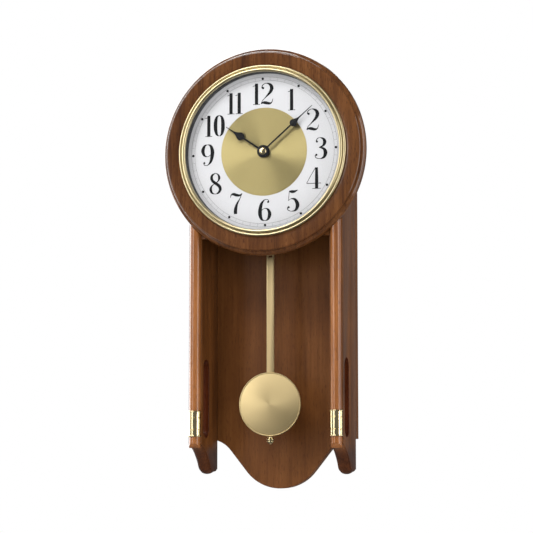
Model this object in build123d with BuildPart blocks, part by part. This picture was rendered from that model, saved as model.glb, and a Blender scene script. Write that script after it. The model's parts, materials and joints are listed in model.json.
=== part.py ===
"""Pendulum wall clock: wooden head and open trunk, quartz movement, chime unit and swinging pendulum.

Millimetres.  +Z is up, the wall is the plane y = 0 and the clock faces -Y.  The origin is on the wall,
on the axis of the nail that the hanger plate hangs on.  Depths are counted back from the front face of
the head ring, and heights from the centre of the dial.
"""
import os
from math import cos, radians, sin, sqrt, tan

from build123d import *

os.makedirs("parts", exist_ok=True)

# ---- driving dimensions ----
case_depth = 90.0          # front face of the head ring to the rear face of the back panel
pad_height = 1.5           # felt pads between the back panel and the wall
dial_drop = 72.0           # nail to dial centre
case_half_width = 90.8
board_thickness = 15.0
panel_thickness = 12.9

ring_radius = 120.0
ring_thickness = 13.3
ring_opening = 95.2

dial_radius = 93.4
dial_depth = 8.7
dial_thickness = 1.2
centre_disc_radius = 51.0
centre_disc_thickness = 0.3
glass_front = -1.0
glass_thickness = 2.0

board_top = 48.0           # heights from the dial centre
board_bottom = -361.4
trunk_edge_bottom = -337.0
moulding_width = 13.0
ferrule_top = -295.5
ferrule_bottom = -325.4

lobe_bottom = -384.4
lobe_radius = 51.15
cove_radius = 33.0
panel_corner = -327.4
flank_angle = 51.5

pendulum_depth = 37.0      # plane in which the pendulum swings
pivot_height = -62.0
bob_height = -288.2
bob_radius = 37.2
rod_width = 8.9
rod_thickness = 1.8

movement_half = 32.0
movement_board_thickness = 6.0
gear_module = 0.5
arbor_radius = 1.5
running_gap = 0.05

shown_hour = 10
shown_minute = 8.2

# ---- worked out from them ----
ring_face_y = -(case_depth + pad_height)
dial_z = -dial_drop
board_inner_x = case_half_width - board_thickness
panel_front = case_depth - panel_thickness
board_middle_x = case_half_width - board_thickness / 2
minute_angle = 90 - 6 * shown_minute
hour_angle = 90 - 30 * (shown_hour + shown_minute / 60)
dial_axis = Axis((0, ring_face_y, dial_z), (0, 1, 0))


def facing(depth, x=0.0, height=0.0, turn=0.0):
    """Plane at a depth that faces the viewer: local x is +X, local y is +Z, and extrusion comes forward.

    A turn, in degrees, swings local x from +X towards +Z.
    """
    along = (cos(radians(turn)), 0, sin(radians(turn)))
    return Plane(origin=(x, ring_face_y + depth, dial_z + height), x_dir=along, z_dir=(0, -1, 0))


def turned(x=0.0, height=0.0):
    """Plane for a turned profile about an axis along Y: local x is the radius and local y the depth."""
    return Plane(origin=(x, ring_face_y, dial_z + height), x_dir=(1, 0, 0), z_dir=(0, 0, 1))


def turning_axis(x=0.0, height=0.0):
    """Axis along Y through a place on the clock's face."""
    return Axis((x, ring_face_y, dial_z + height), (0, 1, 0))


def sideways(x):
    """Plane that faces +X: local x is the depth and local y the height."""
    return Plane(origin=(x, ring_face_y, dial_z), x_dir=(0, 1, 0), z_dir=(1, 0, 0))


def level(height, x=0.0, depth=0.0):
    """Horizontal plane at a height: local x is +X and local y runs back towards the wall."""
    return Plane(origin=(x, ring_face_y + depth, dial_z + height), x_dir=(1, 0, 0), z_dir=(0, 0, 1))


def gear_teeth(teeth, first_tooth):
    """Outline of a small gear with relieved teeth, the first tooth at an angle in degrees."""
    pitch_radius = teeth * gear_module / 2
    root = pitch_radius - 1.25 * gear_module
    tip = pitch_radius + 0.7 * gear_module
    half_root = 0.62 * gear_module
    half_tip = 0.22 * gear_module
    Circle(root + 0.05)
    with PolarLocations(0, teeth, start_angle=first_tooth):
        Polygon((root - 0.1, -half_root), (tip, -half_tip), (tip, half_tip), (root - 0.1, half_root), align=None)


def dome_arc(edge_radius, edge_depth, crown_depth):
    """Arc of a shallow dome in a turned profile, level where it meets the axis."""
    rise = edge_depth - crown_depth
    sphere_radius = (edge_radius ** 2 + rise ** 2) / (2 * rise)
    middle = edge_radius / 2
    middle_depth = crown_depth + sphere_radius - sqrt(sphere_radius ** 2 - middle ** 2)
    ThreePointArc((edge_radius, edge_depth), (middle, middle_depth), (0, crown_depth))


def ring_profile(inner, outer, front, rear):
    """Closed rectangle in a turned profile."""
    with Locations(((inner + outer) / 2, (front + rear) / 2)):
        Rectangle(outer - inner, rear - front)


# ================= wooden case =================

# Head ring: flat face, small bead, groove, large outer bead.
with BuildPart() as head_ring:
    with BuildSketch(turned()):
        with BuildLine():
            Polyline((ring_opening, ring_thickness), (ring_opening, 0.6), (ring_opening + 0.6, 0), (113.4, 0))
            ThreePointArc((113.4, 0), (115.2, 0.7), (115.9, 2.4))
            Line((115.9, 2.4), (115.5, 3.3))
            ThreePointArc((115.5, 3.3), (118.7, 5.6), (ring_radius, 9.6))
            Line((ring_radius, 9.6), (ring_radius, 11.4))
            ThreePointArc((ring_radius, 11.4), (119.5, 12.8), (118.2, ring_thickness))
            Line((118.2, ring_thickness), (ring_opening, ring_thickness))
        make_face()
    revolve(axis=dial_axis)
head_ring.part.label = "head_ring"
export_step(head_ring.part, "parts/head_ring.step")

screw_heights = (20.0, -130.0, -300.0)
screw_length = 34.0
screw_radius = 1.7
side_signs = (("left", -1), ("right", 1))

# Side boards: straight front edge, cove and rounded foot, with a tall slot through each.
slot_height = 90.0
slot_width = 21.5
slot_depth_centre = 32.3
slot_centre = -281.0
cove_end_depth = 44.9
foot_end_depth = 66.0
foot_rounding = 5.2
for side, sign in side_signs:
    with BuildPart() as side_board:
        with BuildSketch(sideways(sign * board_middle_x - board_thickness / 2)):
            with BuildLine():
                Polyline((panel_front, board_bottom), (panel_front, board_top), (ring_thickness, board_top),
                         (ring_thickness, trunk_edge_bottom))
                ThreePointArc((ring_thickness, trunk_edge_bottom), (30.8, -345.7), (cove_end_depth, -358.0))
                ThreePointArc((cove_end_depth, -358.0), (55.0, -368.1), (foot_end_depth, -366.2))
                Line((foot_end_depth, -366.2), (panel_front, board_bottom))
            make_face()
            with Locations((slot_depth_centre, slot_centre)):
                SlotOverall(slot_height, slot_width, rotation=90, mode=Mode.SUBTRACT)
        extrude(amount=board_thickness)
        corner_depths = (ring_face_y + cove_end_depth, ring_face_y + foot_end_depth)
        foot_corners = side_board.edges().filter_by(Axis.X).filter_by(
            lambda edge: min(abs(edge.center().Y - y) for y in corner_depths) < 0.1)
        fillet(foot_corners, 6.0)
        foot_edges = side_board.edges().filter_by(Axis.X, reverse=True).filter_by(
            lambda edge: edge.center().Z < dial_z + trunk_edge_bottom - 0.5)
        fillet(foot_edges, foot_rounding)
        with BuildSketch(facing(panel_front, x=sign * board_middle_x)):
            with Locations(*[(0, height) for height in screw_heights]):
                Circle(screw_radius)
        extrude(amount=screw_length - panel_thickness + 2, mode=Mode.SUBTRACT)
    side_board.part.label = f"{side}_side_board"
    export_step(side_board.part, f"parts/{side}_side_board.step")

# Half-round mouldings on the front edges, coped to the ring and mitred at the foot.
half_round = moulding_width / 2
moulding_bottom = trunk_edge_bottom - 1.0
for side, sign in side_signs:
    with BuildPart() as edge_moulding:
        with BuildSketch(level(moulding_bottom, x=sign * board_middle_x, depth=ring_thickness)):
            Circle(half_round)
            with Locations((0, half_round)):
                Rectangle(2 * moulding_width, moulding_width, mode=Mode.SUBTRACT)
        extrude(amount=-60 - moulding_bottom)
        with BuildSketch(facing(ring_thickness + 1)):
            Circle(ring_radius + 0.03)
        extrude(amount=2 * ring_thickness, mode=Mode.SUBTRACT)
        with BuildSketch(sideways(sign * board_middle_x - moulding_width)):
            Polygon((ring_thickness, moulding_bottom), (0, moulding_bottom), (0, moulding_bottom + 12),
                    align=None)
        extrude(amount=2 * moulding_width, mode=Mode.SUBTRACT)
    edge_moulding.part.label = f"{side}_edge_moulding"
    export_step(edge_moulding.part, f"parts/{side}_edge_moulding.step")

# Ferrules: half sleeves round the mouldings with a rim and a groove at each end.
sleeve_radius = half_round + 0.9
rim_radius = half_round + 1.7
groove_radius = half_round + 0.5
rim_height = 2.0
groove_inset = 7.8
ferrule_steps = (
    (ferrule_bottom, ferrule_bottom + rim_height, rim_radius),
    (ferrule_bottom + rim_height, ferrule_bottom + groove_inset, sleeve_radius),
    (ferrule_bottom + groove_inset, ferrule_bottom + groove_inset + 0.9, groove_radius),
    (ferrule_bottom + groove_inset + 0.9, ferrule_top - groove_inset - 0.9, sleeve_radius),
    (ferrule_top - groove_inset - 0.9, ferrule_top - groove_inset, groove_radius),
    (ferrule_top - groove_inset, ferrule_top - rim_height, sleeve_radius),
    (ferrule_top - rim_height, ferrule_top, rim_radius),
)
for side, sign in side_signs:
    with BuildPart() as ferrule:
        for low, high, radius in ferrule_steps:
            with BuildSketch(level(low, x=sign * board_middle_x, depth=ring_thickness)):
                Circle(radius)
                Circle(half_round + 0.02, mode=Mode.SUBTRACT)
                with Locations((0, moulding_width / 2)):
                    Rectangle(2 * moulding_width, moulding_width, mode=Mode.SUBTRACT)
            extrude(amount=high - low)
    ferrule.part.label = f"{side}_ferrule"
    export_step(ferrule.part, f"parts/{side}_ferrule.step")

# Back panel: round head, straight sides and an ogee foot, with a service window behind the movement.
window_half_width = 56.0
window_low = -68.0
window_high = 39.0
ledge = 8.0
cover_thickness = 3.0
hanger_height = dial_drop
hanger_plate_width = 48.0
hanger_plate_height = 22.0
hanger_plate_thickness = 1.5
window_middle = (window_low + window_high) / 2
window_height = window_high - window_low
cover_screw_x = window_half_width + ledge / 2
cover_screw_heights = (window_low - ledge / 2, window_high + ledge / 2)
hanger_screw_x = 18.0

phi = radians(flank_angle)
lobe_side_x = lobe_radius * sin(phi)
lobe_side_z = lobe_bottom + lobe_radius * (1 - cos(phi))
cove_side_z = panel_corner - cove_radius * (1 - cos(phi))
cove_side_x = lobe_side_x + (cove_side_z - lobe_side_z) / tan(phi)
cove_start_x = cove_side_x + cove_radius * sin(phi)
cove_mid_x = cove_start_x - cove_radius * sin(phi / 2)
cove_mid_z = panel_corner - cove_radius * (1 - cos(phi / 2))

with BuildPart() as back_panel:
    with BuildSketch(facing(case_depth)):
        with BuildLine():
            ThreePointArc((-case_half_width, board_top), (0, case_half_width), (case_half_width, board_top))
            Polyline((case_half_width, board_top), (case_half_width, panel_corner), (cove_start_x, panel_corner))
            ThreePointArc((cove_start_x, panel_corner), (cove_mid_x, cove_mid_z), (cove_side_x, cove_side_z))
            Line((cove_side_x, cove_side_z), (lobe_side_x, lobe_side_z))
            ThreePointArc((lobe_side_x, lobe_side_z), (0, lobe_bottom), (-lobe_side_x, lobe_side_z))
            Line((-lobe_side_x, lobe_side_z), (-cove_side_x, cove_side_z))
            ThreePointArc((-cove_side_x, cove_side_z), (-cove_mid_x, cove_mid_z), (-cove_start_x, panel_corner))
            Polyline((-cove_start_x, panel_corner), (-case_half_width, panel_corner),
                     (-case_half_width, board_top))
        make_face()
        with Locations((0, window_middle)):
            Rectangle(2 * window_half_width, window_height, mode=Mode.SUBTRACT)
        with Locations((0, hanger_height)):
            Circle(8, mode=Mode.SUBTRACT)
    extrude(amount=panel_thickness)
    front_arris = back_panel.faces().sort_by(Axis.Y)[0].outer_wire().edges()
    chamfer(front_arris, 0.8)
    with BuildSketch(facing(case_depth)):
        with Locations((0, window_middle)):
            Rectangle(2 * (window_half_width + ledge), window_height + 2 * ledge)
    extrude(amount=cover_thickness, mode=Mode.SUBTRACT)
    with BuildSketch(facing(case_depth)):
        with Locations((0, hanger_height)):
            Rectangle(hanger_plate_width + 0.4, hanger_plate_height + 0.4)
    extrude(amount=hanger_plate_thickness, mode=Mode.SUBTRACT)
    with BuildSketch(facing(case_depth)):
        for sign in (-1, 1):
            with Locations(*[(sign * board_middle_x, height) for height in screw_heights]):
                Circle(screw_radius)
            with Locations(*[(sign * cover_screw_x, height) for height in cover_screw_heights]):
                Circle(1.35)
            with Locations((sign * hanger_screw_x, hanger_height)):
                Circle(1.35)
    extrude(amount=panel_thickness, mode=Mode.SUBTRACT)
    for sign in (-1, 1):
        with Locations(*[facing(case_depth, sign * board_middle_x, height).location for height in screw_heights]):
            CounterSinkHole(radius=screw_radius, counter_sink_radius=3.6, depth=panel_thickness)
back_panel.part.label = "back_panel"
export_step(back_panel.part, "parts/back_panel.step")

# Countersunk screws through the back panel into the side boards.
with BuildPart() as case_screws:
    for sign in (-1, 1):
        for height in screw_heights:
            with BuildSketch(turned(sign * board_middle_x, height)):
                with BuildLine():
                    Polyline((0, case_depth - 0.1), (3.3, case_depth - 0.1), (screw_radius - 0.1, case_depth - 2.1),
                             (screw_radius - 0.1, case_depth - screw_length + 3), (0, case_depth - screw_length),
                             (0, case_depth - 0.1))
                make_face()
            revolve(axis=turning_axis(sign * board_middle_x, height))
case_screws.part.label = "case_screws"
export_step(case_screws.part, "parts/case_screws.step")

# Top board between the side boards, and the movement board behind the ring.
top_board_thickness = 12.0
with BuildPart() as top_board:
    with BuildSketch(facing(panel_front)):
        with Locations((0, board_top - top_board_thickness / 2)):
            Rectangle(2 * board_inner_x, top_board_thickness)
    extrude(amount=panel_front - ring_thickness)
top_board.part.label = "top_board"
export_step(top_board.part, "parts/top_board.step")

movement_board_low = -98.0
movement_board_high = board_top - top_board_thickness
movement_board_rear = ring_thickness + movement_board_thickness
with BuildPart() as movement_board:
    with BuildSketch(facing(movement_board_rear)):
        with Locations((0, (movement_board_low + movement_board_high) / 2)):
            Rectangle(2 * board_inner_x, movement_board_high - movement_board_low)
        RectangleRounded(2 * movement_half + 3, 2 * movement_half + 3, 4, mode=Mode.SUBTRACT)
    extrude(amount=movement_board_thickness)
movement_board.part.label = "movement_board"
export_step(movement_board.part, "parts/movement_board.step")

# ================= dial =================

# Two-bead brass bezel with a sleeve that goes into the ring.
with BuildPart() as dial_bezel:
    with BuildSketch(turned()):
        with BuildLine():
            Polyline((93.6, ring_thickness), (93.6, glass_front), (91.3, glass_front), (91.3, -3.2))
            ThreePointArc((91.3, -3.2), (93.2, -4.9), (95.2, -3.6))
            Line((95.2, -3.6), (95.7, -2.4))
            Line((95.7, -2.4), (96.2, -2.9))
            ThreePointArc((96.2, -2.9), (98.0, -3.2), (99.0, -1.6))
            Polyline((99.0, -1.6), (99.0, 0), (95.0, 0), (95.0, ring_thickness), (93.6, ring_thickness))
        make_face()
    revolve(axis=dial_axis)
dial_bezel.part.label = "dial_bezel"
export_step(dial_bezel.part, "parts/dial_bezel.step")

glass_rear = glass_front + glass_thickness
with BuildPart() as dial_glass:
    with BuildSketch(facing(glass_rear)):
        Circle(dial_radius)
    extrude(amount=glass_thickness)
dial_glass.part.label = "dial_glass"
export_step(dial_glass.part, "parts/dial_glass.step")

with BuildPart() as inner_ring:
    with BuildSketch(turned()):
        with BuildLine():
            Polyline((dial_radius, glass_rear), (91.7, glass_rear), (91.0, dial_depth), (dial_radius, dial_depth),
                     (dial_radius, glass_rear))
        make_face()
    revolve(axis=dial_axis)
inner_ring.part.label = "inner_ring"
export_step(inner_ring.part, "parts/inner_ring.step")

bush_radius = 3.9
with BuildPart() as dial_plate:
    with BuildSketch(facing(dial_depth + dial_thickness)):
        Circle(dial_radius)
        Circle(bush_radius + 0.2, mode=Mode.SUBTRACT)
    extrude(amount=dial_thickness)
dial_plate.part.label = "dial_plate"
export_step(dial_plate.part, "parts/dial_plate.step")

with BuildPart() as dial_centre_disc:
    with BuildSketch(facing(dial_depth)):
        Circle(centre_disc_radius)
        Circle(bush_radius + 0.2, mode=Mode.SUBTRACT)
    extrude(amount=centre_disc_thickness)
dial_centre_disc.part.label = "dial_centre_disc"
export_step(dial_centre_disc.part, "parts/dial_centre_disc.step")

with BuildPart() as dial_support:
    with BuildSketch(facing(ring_thickness)):
        Circle(dial_radius)
        Circle(bush_radius + 0.2, mode=Mode.SUBTRACT)
    extrude(amount=ring_thickness - dial_depth - dial_thickness)
dial_support.part.label = "dial_support"
export_step(dial_support.part, "parts/dial_support.step")

# ================= movement and hands =================

case_wall = 1.6
case_split = 24.0
movement_rear = 36.0
wheel_height = -15.0       # minute wheel arbor below the dial centre
wheel_arbor_radius = 1.0
movement_inner = movement_half - case_wall

with BuildPart() as movement_front_case:
    with BuildSketch(facing(case_split)):
        RectangleRounded(2 * movement_half, 2 * movement_half, 3)
    extrude(amount=case_split - ring_thickness)
    with BuildSketch(facing(case_split)):
        RectangleRounded(2 * movement_inner, 2 * movement_inner, 1.6)
    extrude(amount=case_split - ring_thickness - case_wall, mode=Mode.SUBTRACT)
    with BuildSketch(facing(case_split)):
        Circle(bush_radius + 0.1)
        with Locations((0, wheel_height)):
            Circle(wheel_arbor_radius + running_gap)
    extrude(amount=case_split, mode=Mode.SUBTRACT)
movement_front_case.part.label = "movement_front_case"
export_step(movement_front_case.part, "parts/movement_front_case.step")

with BuildPart() as movement_rear_case:
    with BuildSketch(facing(movement_rear)):
        RectangleRounded(2 * movement_half, 2 * movement_half, 3)
    extrude(amount=movement_rear - case_split)
    with BuildSketch(facing(movement_rear - case_wall)):
        RectangleRounded(2 * movement_inner, 2 * movement_inner, 1.6)
    extrude(amount=movement_rear - case_wall - case_split, mode=Mode.SUBTRACT)
    with BuildSketch(facing(movement_rear)):
        Circle(wheel_arbor_radius + running_gap)
        with Locations((0, wheel_height)):
            Circle(wheel_arbor_radius + running_gap)
    extrude(amount=case_wall, mode=Mode.SUBTRACT)
movement_rear_case.part.label = "movement_rear_case"
export_step(movement_rear_case.part, "parts/movement_rear_case.step")

hour_pipe_radius = 2.6
nut_front = dial_depth - centre_disc_thickness - 1.5
bush_front = nut_front - 0.2
front_wall_rear = ring_thickness + case_wall
with BuildPart() as centre_bush:
    with BuildSketch(turned()):
        ring_profile(hour_pipe_radius + running_gap, bush_radius, bush_front, front_wall_rear)
        ring_profile(hour_pipe_radius + running_gap, 6.0, front_wall_rear, front_wall_rear + 1)
    revolve(axis=dial_axis)
centre_bush.part.label = "centre_bush"
export_step(centre_bush.part, "parts/centre_bush.step")

with BuildPart() as bush_nut:
    with BuildSketch(facing(nut_front + 1.5)):
        RegularPolygon(radius=6.0, side_count=6, major_radius=False)
        Circle(bush_radius + 0.05, mode=Mode.SUBTRACT)
    extrude(amount=1.5)
bush_nut.part.label = "bush_nut"
export_step(bush_nut.part, "parts/bush_nut.step")

hour_wheel_front = 17.0
hour_wheel_rear = 18.2
minute_wheel_front = 19.4
minute_wheel_rear = 20.8
hour_pipe_front = 5.2
arbor_front = 3.0
hour_teeth = 48
minute_pinion_teeth = 12
minute_teeth = 45
cannon_teeth = 15

with BuildPart() as hour_wheel:
    with BuildSketch(facing(hour_wheel_rear)):
        gear_teeth(hour_teeth, -90)
        Circle(arbor_radius + running_gap, mode=Mode.SUBTRACT)
    extrude(amount=hour_wheel_rear - hour_wheel_front)
    with BuildSketch(facing(hour_wheel_front)):
        Circle(hour_pipe_radius)
        Circle(arbor_radius + running_gap, mode=Mode.SUBTRACT)
    extrude(amount=hour_wheel_front - hour_pipe_front)
hour_wheel.part.label = "hour_wheel"
export_step(hour_wheel.part, "parts/hour_wheel.step")

with BuildPart() as centre_arbor:
    with BuildSketch(facing(movement_rear - 0.4)):
        Circle(wheel_arbor_radius)
    extrude(amount=movement_rear - 0.4 - minute_wheel_rear)
    with BuildSketch(facing(minute_wheel_rear + 0.2)):
        gear_teeth(cannon_teeth, -90)
    extrude(amount=minute_wheel_rear - minute_wheel_front + 0.4)
    with BuildSketch(facing(minute_wheel_front)):
        Circle(arbor_radius)
    extrude(amount=minute_wheel_front - arbor_front)
centre_arbor.part.label = "centre_arbor"
export_step(centre_arbor.part, "parts/centre_arbor.step")

knob_front = 82.0
knob_rear = 89.2
setting_knob_radius = 8.0
with BuildPart() as minute_wheel:
    with BuildSketch(facing(minute_wheel_rear, height=wheel_height)):
        gear_teeth(minute_teeth, 90 + 180 / minute_teeth)
    extrude(amount=minute_wheel_rear - minute_wheel_front)
    with BuildSketch(facing(minute_wheel_front, height=wheel_height)):
        gear_teeth(minute_pinion_teeth, 90 + 180 / minute_pinion_teeth)
    extrude(amount=minute_wheel_front - hour_wheel_front + 0.2)
    with BuildSketch(facing(knob_rear - 2, height=wheel_height)):
        Circle(wheel_arbor_radius)
    extrude(amount=knob_rear - 2 - ring_thickness - 0.3)
minute_wheel.part.label = "minute_wheel"
export_step(minute_wheel.part, "parts/minute_wheel.step")

with BuildPart() as setting_knob:
    with BuildSketch(facing(knob_rear, height=wheel_height)):
        Circle(setting_knob_radius - 0.5)
        with PolarLocations(setting_knob_radius - 0.5, 24):
            Circle(0.5)
    extrude(amount=knob_rear - knob_front)
    with BuildSketch(facing(knob_rear - 1.8, height=wheel_height)):
        Circle(wheel_arbor_radius + 0.02)
    extrude(amount=knob_rear, mode=Mode.SUBTRACT)
setting_knob.part.label = "setting_knob"
export_step(setting_knob.part, "parts/setting_knob.step")


def hand_blade(length, bulb_at, bulb_radius, hub_radius, stem_half):
    """Outline of a hand along local x: stem, round bulb with a pear-shaped flare, and a thin tip."""
    flare_end = bulb_at + 2.3 * bulb_radius
    flare_half = 0.75 * stem_half
    Circle(hub_radius)
    with Locations((bulb_at / 2, 0)):
        Rectangle(bulb_at, 2 * stem_half)
    with Locations((bulb_at, 0)):
        Circle(bulb_radius)
    Polygon((bulb_at, flare_half), (bulb_at, -flare_half), (length, -0.3), (length, 0.3), align=None)
    with BuildLine() as flare:
        flare_start = (bulb_at + 0.5 * bulb_radius, 0.866 * bulb_radius)
        flare_middle = (bulb_at + 1.3 * bulb_radius, 0.39 * bulb_radius)
        ThreePointArc(flare_start, flare_middle, (flare_end, flare_half))
        Line((flare_end, flare_half), (flare_end, -flare_half))
        ThreePointArc((flare_end, -flare_half), (flare_middle[0], -flare_middle[1]),
                      (flare_start[0], -flare_start[1]))
        Line((flare_start[0], -flare_start[1]), flare_start)
    make_face(flare.edges())


hand_thickness = 0.5
hour_hand_rear = 6.1
minute_hand_rear = 4.4
with BuildPart() as hour_hand:
    with BuildSketch(facing(hour_hand_rear, turn=hour_angle)):
        hand_blade(length=54.0, bulb_at=33.0, bulb_radius=4.7, hub_radius=6.9, stem_half=0.95)
        Circle(hour_pipe_radius + 0.02, mode=Mode.SUBTRACT)
    extrude(amount=hand_thickness)
hour_hand.part.label = "hour_hand"
export_step(hour_hand.part, "parts/hour_hand.step")

with BuildPart() as minute_hand:
    with BuildSketch(facing(minute_hand_rear, turn=minute_angle)):
        hand_blade(length=77.0, bulb_at=47.6, bulb_radius=4.3, hub_radius=6.2, stem_half=0.9)
        Circle(arbor_radius + 0.02, mode=Mode.SUBTRACT)
    extrude(amount=hand_thickness)
minute_hand.part.label = "minute_hand"
export_step(minute_hand.part, "parts/minute_hand.step")

# Domed brass cap pressed on the end of the arbor.
cap_rear = minute_hand_rear - hand_thickness
cap_radius = 4.3
cap_front = 1.7
with BuildPart() as hand_cap:
    with BuildSketch(turned()):
        with BuildLine():
            Polyline((0, arbor_front), (arbor_radius + 0.02, arbor_front), (arbor_radius + 0.02, cap_rear),
                     (cap_radius, cap_rear), (cap_radius, cap_rear - 0.6))
            dome_arc(cap_radius, cap_rear - 0.6, cap_front)
            Line((0, cap_front), (0, arbor_front))
        make_face()
    revolve(axis=dial_axis)
hand_cap.part.label = "hand_cap"
export_step(hand_cap.part, "parts/hand_cap.step")

# Stepping motor and circuit board inside the movement.
coil_height = 22.0
coil_depth = 29.0
with BuildPart() as motor_coil:
    with BuildSketch(Plane(origin=(-11, ring_face_y + coil_depth, dial_z + coil_height),
                           x_dir=(0, 1, 0), z_dir=(1, 0, 0))):
        Circle(3.6)
    extrude(amount=22)
    for flange_x in (-11, 10):
        with BuildSketch(Plane(origin=(flange_x, ring_face_y + coil_depth, dial_z + coil_height),
                               x_dir=(0, 1, 0), z_dir=(1, 0, 0))):
            RectangleRounded(9, 9, 1)
        extrude(amount=1)
    with BuildSketch(Plane(origin=(-12, ring_face_y + coil_depth, dial_z + coil_height),
                           x_dir=(0, 1, 0), z_dir=(1, 0, 0))):
        Rectangle(1.2, 4)
    extrude(amount=24, mode=Mode.SUBTRACT)
motor_coil.part.label = "motor_coil"
export_step(motor_coil.part, "parts/motor_coil.step")

with BuildPart() as motor_stator:
    with BuildSketch(facing(coil_depth + 0.5)):
        with Locations((0, coil_height)):
            Rectangle(32, 3.8)
        for leg_x in (-14, 14):
            with Locations((leg_x, 15)):
                Rectangle(4, 16)
        with Locations((0, 9)):
            Rectangle(32, 6)
        with Locations((0, 9)):
            Circle(2.2, mode=Mode.SUBTRACT)
    extrude(amount=1.0)
motor_stator.part.label = "motor_stator"
export_step(motor_stator.part, "parts/motor_stator.step")

with BuildPart() as movement_circuit_board:
    with BuildSketch(facing(32.6)):
        with Locations((22, -2)):
            Rectangle(14, 52)
        with Locations((22, 20), (22, -24)):
            Circle(1.2, mode=Mode.SUBTRACT)
    extrude(amount=1.2)
    with BuildSketch(facing(31.4)):
        with Locations((22, 4)):
            Rectangle(5, 7)
        with Locations((22, -12)):
            SlotOverall(8, 2.6)
    extrude(amount=2.2)
movement_circuit_board.part.label = "movement_circuit_board"
export_step(movement_circuit_board.part, "parts/movement_circuit_board.step")

# ================= pendulum =================

drive_half_width = 34.0
drive_low = -95.0
drive_high = -50.0
drive_front = movement_board_rear
drive_rear = 2 * pendulum_depth - drive_front
drive_wall = 1.8
drive_middle = (drive_low + drive_high) / 2
pin_radius = 1.2
with BuildPart() as pendulum_drive_case:
    with BuildSketch(facing(drive_rear)):
        with Locations((0, drive_middle)):
            RectangleRounded(2 * drive_half_width, drive_high - drive_low, 2)
    extrude(amount=drive_rear - drive_front)
    with BuildSketch(facing(drive_rear - drive_wall)):
        with Locations((0, drive_middle - drive_wall)):
            Rectangle(2 * (drive_half_width - drive_wall), drive_high - drive_low)
    extrude(amount=drive_rear - drive_front - 2 * drive_wall, mode=Mode.SUBTRACT)
    with BuildSketch(facing(drive_rear, height=pivot_height)):
        Circle(pin_radius + 0.02)
    extrude(amount=drive_rear - drive_front, mode=Mode.SUBTRACT)
pendulum_drive_case.part.label = "pendulum_drive_case"
export_step(pendulum_drive_case.part, "parts/pendulum_drive_case.step")

with BuildPart() as pivot_pin:
    with BuildSketch(facing(drive_rear, height=pivot_height)):
        Circle(pin_radius)
    extrude(amount=drive_rear - drive_front)
pivot_pin.part.label = "pivot_pin"
export_step(pivot_pin.part, "parts/pivot_pin.step")

coil_centre = -84.0
with BuildPart() as drive_coil:
    with BuildSketch(facing(drive_rear - drive_wall, height=coil_centre)):
        Circle(9.5)
        Circle(3, mode=Mode.SUBTRACT)
    extrude(amount=1)
    with BuildSketch(facing(drive_rear - drive_wall - 1, height=coil_centre)):
        Circle(8.2)
        Circle(3, mode=Mode.SUBTRACT)
    extrude(amount=5)
    with BuildSketch(facing(drive_rear - drive_wall - 6, height=coil_centre)):
        Circle(9.5)
        Circle(3, mode=Mode.SUBTRACT)
    extrude(amount=1)
drive_coil.part.label = "drive_coil"
export_step(drive_coil.part, "parts/drive_coil.step")

# Swinging arm: hub on the pin, blade, and a hook nose that carries the rod by its window.
rod_front = pendulum_depth - rod_thickness / 2
rod_rear = pendulum_depth + rod_thickness / 2
rod_top = -107.0
window_top = -111.0
rod_window_height = 8.0
rod_window_width = 4.6
arm_low = -116.0
arm_rear = rod_front - 0.1
with BuildPart() as pendulum_arm:
    with BuildSketch(facing(pendulum_depth + 4, height=pivot_height)):
        Circle(5)
    extrude(amount=8)
    with BuildSketch(facing(arm_rear, height=pivot_height)):
        with Locations((0, (arm_low - pivot_height) / 2)):
            Rectangle(8, pivot_height - arm_low)
    extrude(amount=3)
    with BuildSketch(facing(arm_rear, height=coil_centre)):
        Circle(6)
    extrude(amount=3)
    with BuildSketch(facing(rod_rear + 1.5)):
        with Locations((0, window_top - 1.6)):
            Rectangle(4, 2.6)
    extrude(amount=rod_rear + 1.5 - arm_rear)
    with BuildSketch(facing(rod_rear + 1.5)):
        with Locations((0, window_top - 0.6)):
            Rectangle(4, 4.6)
    extrude(amount=1.2)
    with BuildSketch(facing(case_depth, height=pivot_height)):
        Circle(pin_radius + running_gap)
    extrude(amount=case_depth, mode=Mode.SUBTRACT)
pendulum_arm.part.label = "pendulum_arm"
export_step(pendulum_arm.part, "parts/pendulum_arm.step")

with BuildPart() as arm_magnet:
    with BuildSketch(facing(drive_rear - drive_wall - 8.5, height=coil_centre)):
        Circle(5)
    extrude(amount=drive_rear - drive_wall - 8.5 - arm_rear)
arm_magnet.part.label = "arm_magnet"
export_step(arm_magnet.part, "parts/arm_magnet.step")

# Flat rod with bevelled edges and a round threaded end under the bob.
rod_plate_low = -322.0
stem_radius = 1.1
stem_low = -334.6
nut_top = -325.6
nut_low = -332.8
with BuildPart() as pendulum_rod:
    with BuildSketch(facing(rod_rear)):
        with Locations((0, (rod_top + rod_plate_low) / 2)):
            Rectangle(rod_width, rod_top - rod_plate_low)
    extrude(amount=rod_thickness)
    long_edges = pendulum_rod.faces().sort_by(Axis.Y)[0].edges().filter_by(Axis.Z)
    chamfer(long_edges, 0.9)
    with BuildSketch(facing(rod_rear)):
        with Locations((0, window_top - rod_window_height / 2)):
            Rectangle(rod_window_width, rod_window_height)
    extrude(amount=rod_thickness, mode=Mode.SUBTRACT)
    with BuildSketch(level(stem_low, depth=pendulum_depth)):
        Circle(stem_radius)
    extrude(amount=rod_plate_low + 4 - stem_low)
pendulum_rod.part.label = "pendulum_rod"
export_step(pendulum_rod.part, "parts/pendulum_rod.step")

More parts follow.
